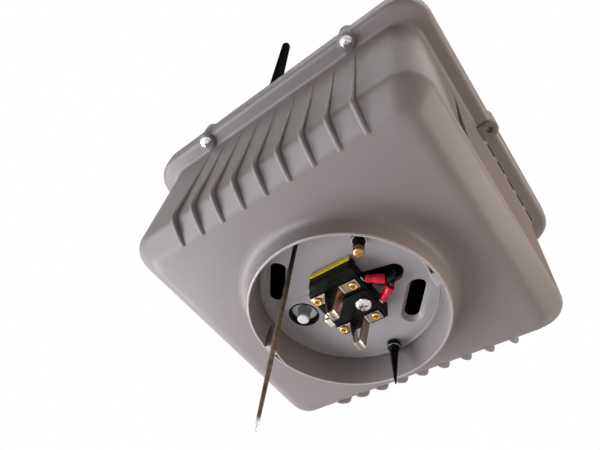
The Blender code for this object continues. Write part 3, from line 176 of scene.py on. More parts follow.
def colour(name, description, value):
    return FloatVectorProperty(name=name, description=description, default=value, size=3,
                               min=0.0, max=1.0, subtype="COLOR")


class HousingSettings(PropertyGroup):
    corner: size("Corner", "Radius of the tub's upright corners", 14.5)
    rib_pitch: size("Rib Pitch", "Distance between two ribs", 13.5)
    rib_thickness: size("Rib Thickness", "Thickness of a rib", 2.7)
    rib_reach: size("Rib Reach", "How far a rib stands out from the belt line", 1.9)
    rib_count: IntProperty(name="Ribs", description="Ribs on the front and on the back", default=9,
                           min=1, max=12)


class PlugSettings(PropertyGroup):
    blade_width: size("Blade Width", "Width of a folded contact blade", 5.4)
    blade_thickness: size("Blade Thickness", "Thickness of the contact strip", 0.9)
    blade_tip: size("Blade Reach", "How far the blades hang below the tub's flat bottom", 21.5)
    sleeve_radius: size("Sleeve Radius", "Radius of a crimp sleeve", 2.35)


class AntennaSettings(PropertyGroup):
    whip_length: size("Whip Length", "Pivot to tip of the antenna", 167.0)
    whip_tip: size("Tip Radius", "Radius at the tip of the antenna", 3.9)
    lean: FloatProperty(name="Lean", description="Forward lean of the antenna",
                        default=math.radians(5.0), subtype="ANGLE", unit="ROTATION")


class FinishSettings(PropertyGroup):
    housing: colour("Housing", "Moulded plastic of the tub", (0.275, 0.242, 0.245))
    cover: colour("Cover", "Moulded plastic of the cover", (0.265, 0.236, 0.242))
    plate: colour("Plate", "Moulded plastic of the plate in the collar", (0.340, 0.318, 0.335))
    black: colour("Black", "Black mouldings", (0.005, 0.006, 0.006))
    yellow: colour("Yellow", "Strip on the plug", (0.78, 0.64, 0.015))
    red: colour("Red", "Crimp sleeves", (0.70, 0.008, 0.030))
    strip: colour("Contact Strip", "Plated contact strip", (0.34, 0.26, 0.22))
    brass: colour("Brass", "Eyelets and screw tip", (0.72, 0.42, 0.13))


# ---------------------------------------------------------------- mesh helpers, all in mm
def at(centre, height):
    """Placement at a height over an (x, y) centre."""
    return Matrix.Translation((*centre, height))


def rounded_face(bm, place, corner, segments):
    """A square face with its corners bevelled round."""
    before = set(bm.faces)
    verts = bmesh.ops.create_grid(bm, x_segments=1, y_segments=1, size=1.0, matrix=place)["verts"]
    bmesh.ops.bevel(bm, geom=verts, offset=corner, offset_type="OFFSET", segments=segments,
                    profile=0.5, affect="VERTICES", material=-1)
    return next(face for face in bm.faces if face not in before)


def ring_loop(bm, half, corner, height, segments=9):
    """Edges of a rounded rectangle about the tub's centre: one square with its corners bevelled."""
    place = at(TUB_CENTRE, height) @ Matrix.Diagonal((half[0], half[1], 1.0, 1.0))
    face = rounded_face(bm, place, corner, segments)
    edges = list(face.edges)
    bmesh.ops.delete(bm, geom=[face], context="FACES_ONLY")
    return edges


def tub_loop(bm, outset, height):
    """The tub's outline grown by outset; its corners soften outwards and tighten inwards."""
    corner = bpy.context.scene.access_point_housing.corner / MM
    corner = max(corner + (0.35 if outset > 0 else 0.6) * outset, 3.0)
    return ring_loop(bm, (TUB_HALF[0] + outset, TUB_HALF[1] + outset), corner, height)


def circle_loop(bm, radius, height):
    verts = bmesh.ops.create_circle(bm, cap_ends=False, segments=96, radius=radius,
                                    matrix=Matrix.Translation((0, 0, height)))["verts"]
    return list({edge for vert in verts for edge in vert.link_edges})


def skin(bm, loops, closed=False):
    """Bridge loops of edges one after another, and the last to the first where closed."""
    pairs = list(zip(loops, loops[1:]))
    if closed:
        pairs.append((loops[-1], loops[0]))
    for near, far in pairs:
        bmesh.ops.bridge_loops(bm, edges=near + far)


def spin(bm, profile, centre=(0.0, 0.0), steps=40, closed=False):
    """Spin a profile of (radius, height) points about an upright axis."""
    verts = [bm.verts.new((centre[0] + radius, centre[1], height)) for radius, height in profile]
    edges = [bm.edges.new(pair) for pair in zip(verts, verts[1:])]
    if closed:
        edges.append(bm.edges.new((verts[-1], verts[0])))
    before = set(bm.verts)
    bmesh.ops.spin(bm, geom=verts + edges, cent=(*centre, 0.0), axis=(0, 0, 1), angle=math.tau,
                   steps=steps, use_merge=True)
    made = verts + [vert for vert in bm.verts if vert not in before]
    bmesh.ops.remove_doubles(bm, verts=[vert for vert in made if vert.is_valid], dist=1e-4)
    return [vert for vert in made if vert.is_valid]


def soften(bm, edges, offset, segments=2):
    """Round edges with a bevel."""
    bmesh.ops.bevel(bm, geom=list(edges), offset=offset, segments=segments, profile=0.5,
                    affect="EDGES", material=-1)


def rod(bm, radius, depth, place, segments=24):
    """A closed bar about the Z axis of its placement."""
    bmesh.ops.create_cone(bm, cap_ends=True, segments=segments, radius1=radius, radius2=radius,
                          depth=depth, matrix=place)


def block(bm, low, high, bevel=0.0, segments=3, upright_only=False):
    """A box between two corners with rounded edges."""
    size_xyz = [b - a for a, b in zip(low, high)]
    middle = [(a + b) / 2 for a, b in zip(low, high)]
    place = Matrix.Translation(middle) @ Matrix.Diagonal((*size_xyz, 1.0))
    verts = bmesh.ops.create_cube(bm, size=1.0, matrix=place)["verts"]
    if bevel:
        edges = {edge for vert in verts for edge in vert.link_edges}
        if upright_only:
            edges = {edge for edge in edges
                     if abs(edge.verts[0].co.z - edge.verts[1].co.z) > size_xyz[2] / 2}
        soften(bm, edges, bevel, segments)


def moulded_block(low, high, corner, segments, edge):
    """A box with round upright corners and lightly broken edges."""
    bm = bmesh.new()
    block(bm, low, high, corner, segments, upright_only=True)
    soften(bm, bm.edges[:], edge)
    return bm


def pushed_outline(bm, points, push, bevel=0.0, segments=2, keep=None):
    """Push a flat outline along a vector, then round the edges that keep() accepts."""
    verts = [bm.verts.new(point) for point in points]
    edges = [bm.edges.new(pair) for pair in zip(verts, verts[1:] + verts[:1])]
    face = bmesh.ops.contextual_create(bm, geom=edges)["faces"][0]
    made = bmesh.ops.extrude_face_region(bm, geom=[face])["geom"]
    verts = [item for item in made if isinstance(item, bmesh.types.BMVert)]
    bmesh.ops.translate(bm, vec=push, verts=verts)
    everything = {vert for item in verts for edge in item.link_edges for vert in edge.verts}
    if bevel:
        edges = {edge for vert in everything for edge in vert.link_edges}
        soften(bm, [edge for edge in edges if keep is None or keep(edge)], bevel, segments)


def slot_cutter(bm, centre, angle, length, width, sections):
    """A slot with round ends through (grow, height) sections, closed at both ends."""
    turn = at(centre, 0.0) @ Matrix.Rotation(angle, 4, "Z")
    loops = []
    for grow, height in sections:
        half = (length / 2 + grow, width / 2 + grow)
        place = turn @ Matrix.Translation((0, 0, height)) @ Matrix.Diagonal((*half, 1.0, 1.0))
        face = rounded_face(bm, place, half[1] * 0.999, 12)
        loops.append((face, list(face.edges)))
    skin(bm, [edges for _, edges in loops])
    bmesh.ops.delete(bm, geom=[face for face, _ in loops[1:-1]], context="FACES_ONLY")


def arc_block(bm, angle, arc, inner, outer, low, high, steps):
    """A rectangle spun through arc degrees about the collar's axis."""
    start = math.radians(angle - arc / 2)
    corners = ((inner, low), (outer, low), (outer, high), (inner, high))
    verts = [bm.verts.new((r * math.cos(start), r * math.sin(start), z)) for r, z in corners]
    face = bmesh.ops.contextual_create(bm, geom=verts)["faces"][0]
    bmesh.ops.spin(bm, geom=[face], cent=(0, 0, 0), axis=(0, 0, 1), angle=math.radians(arc),
                   steps=steps)


def carve(target, cutter, operation="DIFFERENCE"):
    """Boolean one bmesh with another, both in millimetres, and return the result."""
    items = []
    for shape in (target, cutter):
        bmesh.ops.recalc_face_normals(shape, faces=shape.faces)
        mesh = bpy.data.meshes.new("carving")
        shape.to_mesh(mesh)
        shape.free()
        items.append(bpy.data.objects.new("carving", mesh))
        bpy.context.scene.collection.objects.link(items[-1])
    step = items[0].modifiers.new("carve", "BOOLEAN")
    step.operation = operation
    step.solver = "EXACT"
    step.object = items[1]
    solid = items[0].evaluated_get(bpy.context.evaluated_depsgraph_get())
    result = bmesh.new()
    result.from_mesh(solid.to_mesh())
    solid.to_mesh_clear()
    for item in items:
        mesh = item.data
        bpy.data.objects.remove(item)
        bpy.data.meshes.remove(mesh)
    return result


def join(target, other):
    """Add a second bmesh's shapes to the first."""
    mesh = bpy.data.meshes.new("joining")
    other.to_mesh(mesh)
    other.free()
    target.from_mesh(mesh)
    bpy.data.meshes.remove(mesh)


def box_mm(node):
    """A CAD piece's lower and upper corner in millimetres."""
    low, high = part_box(node)
    return low / MM, high / MM


def finish(name, bm, look, node, body="housing", sharp=38.0, second=None):
    """Scale a bmesh to metres, ride it on its CAD body and let it stand for its CAD piece."""
    bmesh.ops.recalc_face_normals(bm, faces=bm.faces)
    bmesh.ops.scale(bm, vec=(MM, MM, MM), verts=bm.verts)
    mesh = bpy.data.meshes.new(name)
    bm.to_mesh(mesh)
    bm.free()
    mesh.shade_smooth()
    mesh.set_sharp_from_angle(angle=math.radians(sharp))
    piece = bpy.data.objects.new(name, mesh)
    bpy.context.scene.collection.objects.link(piece)
    mesh.materials.append(finishes()[look])
    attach(piece, body)
    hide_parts(node)
    if second:
        mesh.materials.append(finishes()[second])


def turned(name, look, node, profile, centre, steps, body="housing", closed=False):
    """A piece made of one spun profile."""
    bm = bmesh.new()
    spin(bm, profile, centre, steps, closed)
    finish(name, bm, look, node, body)


def thread(radius, low, high, pitch=0.8, depth=0.22):
    """Profile of a threaded shank, top to bottom, as rings of crests and roots."""
    points, height = [], high
    while height - pitch > low:
        points += [(radius, height), (radius, height - 0.15 * pitch),
                   (radius - depth, height - 0.5 * pitch), (radius - depth, height - 0.65 * pitch)]
        height -= pitch
    return points + [(radius, height), (radius, low)]


# ---------------------------------------------------------------- materials
def feed(tree, socket, value):
    """Link an output into a socket, or store a plain value in it."""
    if isinstance(value, bpy.types.NodeSocket):
        tree.links.new(value, socket)
    else:
        socket.default_value = value


def add(tree, kind, inputs=None, **settings):
    """A new shader node with its settings, and its inputs fed by name or number."""
    made = tree.nodes.new("ShaderNode" + kind)
    for name, value in settings.items():
        setattr(made, name, value)
    for socket, value in (inputs or {}).items():
        feed(tree, made.inputs[socket], value)
    return made


def noise(tree, vector, scale, detail=4.0, roughness=0.55):
    return add(tree, "TexNoise", {"Vector": vector, "Scale": scale, "Detail": detail,
                                  "Roughness": roughness}).outputs["Fac"]


def spread(tree, value, low, high, to_low, to_high):
    return add(tree, "MapRange", {"Value": value, "From Min": low, "From Max": high,
                                  "To Min": to_low, "To Max": to_high}).outputs["Result"]


def math_node(tree, operation, first, second):
    return add(tree, "Math", {0: first, 1: second}, operation=operation).outputs[0]


def mix_colour(tree, factor, first, second):
    return add(tree, "Mix", {0: factor, 6: first, 7: second}, data_type="RGBA").outputs[2]


def surface_group(name, inputs, build):
    """The shader group of that name; build() gives its colour, roughness and height."""
    group = bpy.data.node_groups.get(name)
    if group:
        return group
    group = bpy.data.node_groups.new(name, "ShaderNodeTree")
    group.interface.new_socket(name="Vector", in_out="INPUT", socket_type="NodeSocketVector")
    for label, default in inputs.items():
        kind = "NodeSocketColor" if isinstance(default, tuple) else "NodeSocketFloat"
        socket = group.interface.new_socket(name=label, in_out="INPUT", socket_type=kind)
        socket.default_value = default
    for label, kind in (("Colour", "Color"), ("Roughness", "Float"), ("Height", "Float")):
        group.interface.new_socket(name=label, in_out="OUTPUT", socket_type="NodeSocket" + kind)
    given, put = group.nodes.new("NodeGroupInput"), group.nodes.new("NodeGroupOutput")
    for socket, value in zip(put.inputs, build(group, given.outputs)):
        group.links.new(value, socket)
    return group


def moulded_surface(group, given):
    """Satin moulded plastic: slow tone drift, faint flow marks, scuffs and a fine eroded grain."""
    vector, shade = given["Vector"], given["Shade"]
    drift = spread(group, noise(group, vector, 11.0, 3.0), 0.3, 0.7, 0.0, 0.55)
    tone = mix_colour(group, drift, given["Colour"], shade)
    flow = spread(group, noise(group, vector, 46.0, 5.0, 0.65), 0.35, 0.75, 0.0, 0.22)
    scuff = spread(group, noise(group, vector, 130.0, 6.0, 0.7), 0.3, 0.75, -0.07, 0.09)
    return (mix_colour(group, flow, tone, shade), math_node(group, "ADD", given["Gloss"], scuff),
            noise(group, vector, given["Grain Scale"], 2.0, 0.5))


def plated_surface(group, given):
    """Plated or turned metal: fine drawn streaks, tarnish spots and a worn sheen."""
    vector = given["Vector"]
    drawn = add(group, "Mapping", {"Vector": vector, "Scale": (1.0, 1.0, 0.08)}).outputs["Vector"]
    streak = noise(group, drawn, 1500.0, 3.0)
    spots = spread(group, noise(group, vector, 260.0, 5.0, 0.6), 0.48, 0.75, 0.0, 1.0)
    amount = math_node(group, "MULTIPLY", spots, given["Tarnish Amount"])
    rough = math_node(group, "ADD", given["Polish"], spread(group, streak, 0.3, 0.7, -0.04, 0.10))
    rough = math_node(group, "ADD", rough, math_node(group, "MULTIPLY", amount, 0.25))
    return mix_colour(group, amount, given["Colour"], given["Tarnish"]), rough, streak


def add_bump(tree, shader, height, strength, distance):
    bump = add(tree, "Bump", {"Height": height, "Strength": strength, "Distance": distance})
    tree.links.new(bump.outputs["Normal"], shader.inputs["Normal"])


def wear(tree, shader, group, inputs, bump, distance):
    """Run a surface group into the shader's colour, roughness and normal."""
    surface = add(tree, "Group", inputs, node_tree=group).outputs
    tree.links.new(surface["Colour"], shader.inputs["Base Color"])
    tree.links.new(surface["Roughness"], shader.inputs["Roughness"])
    add_bump(tree, shader, surface["Height"], bump, distance)


def material(name, roughness, metallic, dress, *values):
    """The material of that name; dress() gives it its nodes on first use."""
    made = bpy.data.materials.get(name)
    if made:
        return made
    made = bpy.data.materials.new(name)
    made.use_nodes = True
    tree = made.node_tree
    shader = tree.nodes["Principled BSDF"]
    shader.inputs["Roughness"].default_value = roughness
    shader.inputs["Metallic"].default_value = metallic
    dress(tree, shader, add(tree, "TexCoord").outputs["Object"], *values)
    return made


def dress_plastic(tree, shader, vector, value, gloss, shade, grain, bump, shine):
    """One moulded colour whose reflection fades where it is seen at a slant."""
    slant = add(tree, "LayerWeight").outputs["Facing"]
    tree.links.new(spread(tree, slant, 0.45, 0.9, shine, 0.0), shader.inputs["Specular IOR Level"])
    group = surface_group("Moulded Surface", {
        "Colour": (0.5, 0.5, 0.5, 1.0), "Shade": (0.4, 0.4, 0.4, 1.0), "Gloss": 0.4,
        "Grain Scale": 2200.0}, moulded_surface)
    wear(tree, shader, group, {
        "Vector": vector, "Colour": (*value, 1.0), "Shade": (*[part * shade for part in value], 1.0),
        "Gloss": gloss, "Grain Scale": grain}, bump, 0.0004)


def plastic(name, value, gloss=0.42, shade=0.8, grain=2200.0, bump=0.12, shine=0.5):
    return material(name, gloss, 0.0, dress_plastic, value, gloss, shade, grain, bump, shine)


def dress_metal(tree, shader, vector, value, tarnish, polish, amount):
    group = surface_group("Plated Surface", {
        "Colour": (0.7, 0.7, 0.7, 1.0), "Tarnish": (0.4, 0.35, 0.3, 1.0), "Polish": 0.2,
        "Tarnish Amount": 0.3}, plated_surface)
    wear(tree, shader, group, {
        "Vector": vector, "Colour": (*value, 1.0), "Tarnish": (*tarnish, 1.0), "Polish": polish,
        "Tarnish Amount": amount}, 0.06, 0.0002)


def metal(name, value, tarnish, polish, amount):
    """Plated, turned or blackened metal."""
    return material(name, polish, 1.0, dress_metal, value, tarnish, polish, amount)


def dress_rod(tree, shader, vector):
    """Brown oxidised rod with faint bands and a bright bare tip."""
    height = add(tree, "SeparateXYZ", {"Vector": vector}).outputs["Z"]
    brown = mix_colour(tree, spread(tree, noise(tree, vector, 180.0, 5.0), 0.35, 0.7, 0.0, 1.0),
                       (0.060, 0.036, 0.023, 1.0), (0.17, 0.12, 0.083, 1.0))
    wave = add(tree, "TexWave", {"Vector": vector, "Scale": 90.0, "Distortion": 2.5, "Detail": 2.0},
               wave_type="BANDS", bands_direction="Z").outputs["Fac"]
    banded = mix_colour(tree, spread(tree, wave, 0.55, 1.0, 0.0, 0.45), brown,
                        (0.045, 0.030, 0.022, 1.0))
    dark_top = mix_colour(tree, spread(tree, height, -0.045, -0.005, 0.0, 0.85), banded,
                          (0.012, 0.010, 0.010, 1.0))
    tip = mix_colour(tree, spread(tree, height, -0.0955, -0.0935, 1.0, 0.0), dark_top,
                     (0.62, 0.60, 0.58, 1.0))
    tree.links.new(tip, shader.inputs["Base Color"])
    add_bump(tree, shader, wave, 0.12, 0.0002)


def dress_light_pipe(tree, shader, vector):
    """Clear plastic with a faint haze."""
    shader.inputs["Transmission Weight"].default_value = 0.55
    shader.inputs["IOR"].default_value = 1.49
    haze = noise(tree, vector, 420.0, 4.0)
    tone = mix_colour(tree, spread(tree, haze, 0.3, 0.7, 0.0, 1.0), (0.55, 0.56, 0.58, 1.0),
                      (0.74, 0.75, 0.77, 1.0))
    tree.links.new(tone, shader.inputs["Base Color"])
    tree.links.new(spread(tree, haze, 0.3, 0.7, 0.10, 0.26), shader.inputs["Roughness"])


def dress_board(tree, shader, vector):
    """Solder mask with copper tracks and tinned pads showing through."""
    brick = add(tree, "TexBrick", {
        "Vector": vector, "Scale": 60.0, "Mortar Size": 0.03, "Color1": (0.003, 0.020, 0.008, 1.0),
        "Color2": (0.004, 0.026, 0.010, 1.0), "Mortar": (0.006, 0.040, 0.016, 1.0)}).outputs
    pads = add(tree, "TexVoronoi", {"Vector": vector, "Scale": 210.0}).outputs["Distance"]
    ring = spread(tree, pads, 0.14, 0.17, 1.0, 0.0)
    tree.links.new(mix_colour(tree, ring, brick["Color"], (0.62, 0.60, 0.52, 1.0)),
                   shader.inputs["Base Color"])
    tree.links.new(ring, shader.inputs["Metallic"])
    add_bump(tree, shader, brick["Fac"], 0.1, 0.0002)


def finishes():
    """Every material of the object by a short name."""
    values = bpy.context.scene.access_point_finishes
    return {
        "housing": plastic("housing_plastic", tuple(values.housing), 0.36, 0.82, shine=0.22),
        # a lighter, glossier copy of the housing colour: the painted highlight on the collar's rim
        "edge": plastic("housing_rim_highlight", tuple(min(1.0, 1.5 * part) for part in values.housing), 0.24,
                        0.9),
        "cover": plastic("cover_plastic", tuple(values.cover), 0.40, 0.82),
        "plate": plastic("plate_plastic", tuple(values.plate), 0.34, 0.85, 2600.0, 0.08),
        "black": plastic("black_moulding", tuple(values.black), 0.30, 0.6, 1500.0, 0.10, 0.10),
        "whip": plastic("antenna_sheath", (0.012, 0.012, 0.013), 0.55, 0.6, 1500.0, 0.10, 0.0),
        "cable": plastic("black_insulation", (0.010, 0.010, 0.011), 0.34, 0.7, 1200.0, 0.08, 0.3),
        "rubber": plastic("seal_rubber", (0.013, 0.013, 0.014), 0.62, 0.7, 900.0, 0.25, 0.25),
        "yellow": plastic("yellow_strip", tuple(values.yellow), 0.42, 0.7, 1800.0, 0.10),
        "red": plastic("red_sleeve", tuple(values.red), 0.26, 0.72, 900.0, 0.10, 0.3),
        "reflector": plastic("white_reflector", (0.80, 0.81, 0.84), 0.25, 0.9, 1500.0, 0.05),
        "white": plastic("white_diffuser", (0.86, 0.86, 0.85), 0.35, 0.93, 1500.0, 0.05),
        "epoxy": plastic("component_epoxy", (0.020, 0.021, 0.024), 0.45, 0.7, 700.0, 0.2),
        "strip": metal("contact_strip", tuple(values.strip), (0.10, 0.08, 0.055), 0.24, 0.5),
        # nickel, made bright as the painted highlight on the blades' folds and on the third contact
        "bright": metal("nickel_and_painted_highlight", (0.82, 0.77, 0.73), (0.50, 0.42, 0.37), 0.14, 0.25),
        # zinc for the screws, also the painted highlight round the bushes' mouths
        "zinc": metal("zinc_and_bush_highlight", (0.64, 0.64, 0.65), (0.36, 0.36, 0.38), 0.16, 0.35),
        "brass": metal("brass", tuple(values.brass), (0.30, 0.14, 0.05), 0.20, 0.5),
        "copper": metal("worn_brass", (0.42, 0.22, 0.09), (0.20, 0.09, 0.035), 0.22, 0.6),
        "black_steel": metal("blackened_steel", (0.008, 0.008, 0.009), (0.03, 0.026, 0.02), 0.30, 0.4),
        "can": metal("shield_can", (0.62, 0.63, 0.64), (0.42, 0.42, 0.43), 0.28, 0.3),
        "rod": material("oxidised_rod", 0.38, 0.75, dress_rod),
        "clear": material("clear_light_pipe", 0.16, 0.0, dress_light_pipe),
        "board": material("solder_mask", 0.35, 0.0, dress_board),
    }


# ---------------------------------------------------------------- the housing
class PieceOperator:
    """What the buttons share: build() adds the pieces."""

    def execute(self, context):
        self.build(context.scene)
        return {"FINISHED"}


def tub_skin():
    """Closed wall of the tub, from the collar's foot up the outside and back down the inside."""
    bm = bmesh.new()
    loops = [tub_loop(bm, outset, height) for outset, height in TUB_OUTSIDE + TUB_INSIDE]
    loops += [circle_loop(bm, TUB_FLOOR_HOLE, height) for height in (TUB_FLOOR, 0.0)]
    skin(bm, loops, closed=True)
    return bm


def wall_cuts():
    """Thin slits in the flange's underside and the narrow relief in the right wall."""
    bm = bmesh.new()
    (near, far), (low, high) = SLIT_OUTSETS, SLIT_HEIGHTS
    for index in range(SLIT_COUNT):
        middle = SLIT_START + SLIT_PITCH * index
        block(bm, (RIGHT_WALL + near, middle - SLIT_LENGTH / 2, low),
              (RIGHT_WALL + far, middle + SLIT_LENGTH / 2, high))
    pushed_outline(bm, [(RIGHT_WALL + out, RELIEF_START, up) for out, up in RELIEF],
                   (0.0, RELIEF_WIDTH, 0.0))
    return bm


def on_rib_crest(edge):
    """Whether an edge runs along a rib's crest, away from its tip and its root."""
    outs = [abs(vert.co.y - TUB_CENTRE[1]) - TUB_HALF[1] for vert in edge.verts]
    flat = abs(edge.verts[0].co.x - edge.verts[1].co.x) < 1e-4
    at_tip = any(vert.co.z > TIP_HEIGHT and out < TIP_BACK for vert, out in zip(edge.verts, outs))
    at_root = min(outs) < ROOT_OUTSET and any(vert.co.z > ELBOW_HEIGHT for vert in edge.verts)
    return flat and max(outs) > RIB_END and not (at_tip or at_root)


def ribs(bm, settings):
    """Rows of ribs on the front and back, each rounded along its crest."""
    reach, thick = settings.rib_reach / MM, settings.rib_thickness / MM
    outline = [(reach - inset, up) for inset, up in RIB_BEND] + [*RIB_TIP, *RIB_ROOT]
    for side in (-1, 1):
        for index in range(settings.rib_count):
            middle = RIB_MIDDLE + settings.rib_pitch / MM * (index - (settings.rib_count - 1) / 2)
            points = [(middle - thick / 2, TUB_CENTRE[1] + side * (TUB_HALF[1] + out), up)
                      for out, up in outline]
            pushed_outline(bm, points, (thick, 0.0, 0.0), 1.2, 4, on_rib_crest)


def collar():
    """Round collar with its foot fillet, a thin rim, and the slot beside each snap lug."""
    bm = bmesh.new()
    spin(bm, [(57.5, 0.0), (56.0, -0.08), (54.6, -0.4), (53.4, -1.0), (52.3, -2.0), (51.5, -3.3),
              (50.9, -5.2), (50.2, -11.9), (50.1, -12.7), (49.95, -13.1), (49.6, -13.3), (49.2, -13.3),
              (48.9, -13.2), (48.75, -12.9), (48.0, -6.5), (46.45, 2.4), (46.6, 2.7), (57.5, 2.7)],
         steps=128, closed=True)
    slots = bmesh.new()
    for angle in LUG_ANGLES:
        arc_block(slots, angle + 9.7, arc=1.9, inner=44.0, outer=49.15, low=-14.5, high=0.5, steps=3)
    return carve(bm, slots)


def lugs():
    """Snap lugs inside the rim: a springy ramp that leaves the wall and ends in a stop."""
    bm = bmesh.new()
    for angle in LUG_ANGLES:
        points = []
        for turn, radius in LUG:
            turn = math.radians(angle + turn)
            points.append((radius * math.cos(turn), radius * math.sin(turn), LUG_FOOT))
        pushed_outline(bm, points, (0.0, 0.0, LUG_HEIGHT), 0.22, 2)
    return bm


def boss_profile(bore):
    return [(bore, 100.9), (5.0, 100.9), (5.3, 100.6), (5.3, 88.9), (5.1, 88.3), (4.6, 87.95),
            (bore + 0.4, 87.9), (bore, 88.2)]


class ACCESSPOINT_OT_housing(PieceOperator, Operator):
    """Add the ribbed tub with its collar, snap lugs and screw bosses"""
    bl_idname = "access_point.housing"
    bl_label = "Add Housing"

    def build(self, scene):
        bm = carve(tub_skin(), wall_cuts())
        ribs(bm, scene.access_point_housing)
        join(bm, collar())
        join(bm, lugs())
        for centre in SCREWED_BOSSES:
            spin(bm, boss_profile(2.2), centre, 28, closed=True)
        spin(bm, boss_profile(1.65), EMPTY_BOSS, 28, closed=True)
        x, y = EMPTY_BOSS
        block(bm, (x - 6.5, y - 4.9, 87.9), (x - 1.8, y + 4.9, 92.0), 0.5)
        # faces below the rim's height take the painted highlight material
        for face in bm.faces:
            face.material_index = int(face.calc_center_median().z < RIM_HIGHLIGHT_HEIGHT)
        finish("housing_shell", bm, "housing", "lower_housing", sharp=42.0, second="edge")


class ACCESSPOINT_OT_cover(PieceOperator, Operator):
    """Add the crowned cover with its screw pads and antenna pad"""
    bl_idname = "access_point.cover"
    bl_label = "Add Cover"

    def build(self, scene):
        bm = bmesh.new()
        loops = [tub_loop(bm, outset, height) for outset, height in COVER_OUTSIDE + COVER_INSIDE]
        skin(bm, loops)
        for edges in (loops[0], loops[-1]):
            bmesh.ops.contextual_create(bm, geom=edges)
        bore = bmesh.new()
        rod(bore, 3.5, 30, at(ANTENNA, 110.0), 40)
        bm = carve(bm, bore)
        for centre in SCREWED_BOSSES + (EMPTY_BOSS,):
            spin(bm, [(0.0, 107.3), (4.4, 107.3), (5.0, 107.0), (5.3, 106.2), (5.3, 101.6),
                      (5.0, 101.32), (2.2, 101.32), (2.2, 104.6), (0.0, 104.6)], centre, 28)
        spin(bm, [(3.5, 114.1), (9.0, 114.1), (9.4, 113.9), (9.5, 113.5), (9.5, 106.0), (3.5, 106.0)],
             ANTENNA, 48, closed=True)
        finish("cover_shell", bm, "cover", "top_cover", sharp=30.0)


# ---------------------------------------------------------------- inside the collar
class ACCESSPOINT_OT_plate(PieceOperator, Operator):
    """Add the plate that closes the collar, with its slots and holes"""
    bl_idname = "access_point.plate"
    bl_label = "Add Plate"

    def build(self, scene):
        bm = bmesh.new()
        spin(bm, [(0.0, 6.0), (50.4, 6.0), (50.9, 5.5), (50.9, 3.0), (45.75, 3.0), (45.6, 2.8),
                  (45.25, 2.8), (45.1, 3.0), (0.0, 3.0)], steps=112)
        pad = bmesh.new()
        x, y = SENSOR
        block(pad, (x - 11.0, y - 11.0, 2.78), (x + 11.0, y + 11.0, 3.6), 0.25, 2)
        bm = carve(bm, pad, "UNION")
        stepped = ((2.0, 2.4), (2.0, 2.9), (1.7, 3.2), (0.45, 5.5), (0.0, 5.8), (0.0, 7.0))
        straight = ((0.0, 2.0), (0.0, 7.0))
        for centre, angle, length, width, sections in (
                ((27.2, 20.4), 129.5, 25.5, 8.0, stepped), ((-28.0, -24.9), 129.5, 25.5, 8.0, stepped),
                ((23.4, -0.7), 0.0, 16.4, 9.6, straight), ((20.1, -3.55), 11.5, 25.5, 9.2, straight)):
            cutter = bmesh.new()
            slot_cutter(cutter, centre, math.radians(angle), length, width, sections)
            bm = carve(bm, cutter)
        holes = bmesh.new()
        for (x, y), radius in ((SENSOR, 8.3), (POINTED_SCREW, 3.6), (BRASS_SCREW, 3.6),
                               (GUIDE_ROD, 1.4)):
            rod(holes, radius, 8.0, Matrix.Translation((x, y, 4.5)), 48)
        finish("collar_plate", carve(bm, holes), "plate", "recess_plate", sharp=30.0)


class ACCESSPOINT_OT_light_sensor(PieceOperator, Operator):
    """Add the light sensor: dark cup, clear light pipe and white diffuser"""
    bl_idname = "access_point.light_sensor"
    bl_label = "Add Light Sensor"

    def build(self, scene):
        cup = bmesh.new()
        spin(cup, [(3.8, 11.5), (7.6, 11.5), (7.9, 11.2), (7.9, 7.5), (10.1, 7.5), (10.1, 6.3),
                   (8.1, 6.3), (8.1, 3.0), (8.0, 2.6), (7.7, 2.45), (7.45, 2.65), (7.35, 3.1),
                   (7.25, 6.3), (7.0, 6.6), (3.8, 6.6)], SENSOR, 56, closed=True)
        for face in cup.faces:  # the white reflector at the bottom of the cup
            face.material_index = int(face.calc_center_median().z < REFLECTOR_HEIGHT and all(
                (vert.co.xy - Vector(SENSOR)).length < REFLECTOR_RADIUS for vert in face.verts))
        finish("sensor_cup_ring", cup, "black", "sensor_cup", second="reflector")
        turned("light_pipe_body", "clear", "light_pipe", [
            (0.0, 9.8), (3.6, 9.8), (3.6, 6.2), (3.45, 5.0), (3.15, 0.3), (3.05, 0.2), (0.0, 0.2)],
            SENSOR, 40)
        turned("diffuser_cap", "white", "light_pipe_diffuser", [
            (0.0, -0.1), (3.2, -0.1), (3.2, -0.75), (2.9, -1.1), (2.2, -1.3), (0.0, -1.4)], SENSOR, 40)


class ACCESSPOINT_OT_plug(PieceOperator, Operator):
    """Add the black plug block with its raised hub, side bar and yellow strip"""
    bl_idname = "access_point.plug"
    bl_label = "Add Plug"

    def build(self, scene):
        bm = moulded_block((-13.5, -16.55, PLUG_FACE), (14.5, 15.95, 2.7), 2.2, 4, 0.3)
        holes = bmesh.new()
        for centre in EYELETS:
            rod(holes, 1.75, 4.8, at(centre, PLUG_FACE + 0.4))
        rod(holes, 2.2, 30, at(PLUG_SCREW, 0.0))
        bm = carve(bm, holes)
        join(bm, moulded_block((-6.0, -5.8, -6.1), (13.9, 6.4, -4.0), 1.4, 3, 0.25))
        join(bm, moulded_block((-10.5, -20.75, -5.6), (15.3, -15.5, 2.68), 2.0, 4, 0.35))
        finish("plug_block", bm, "black", "plug_base")
        strip = bmesh.new()
        low, high = box_mm("plug_side_strip")
        block(strip, low, high)
        corners = [edge for edge in strip.edges
                   if abs(edge.verts[0].co.y - edge.verts[1].co.y) > (high.y - low.y) / 2]
        soften(strip, corners, (high.z - low.z) * 0.49, 6)
        finish("plug_yellow_strip", strip, "yellow", "plug_side_strip")


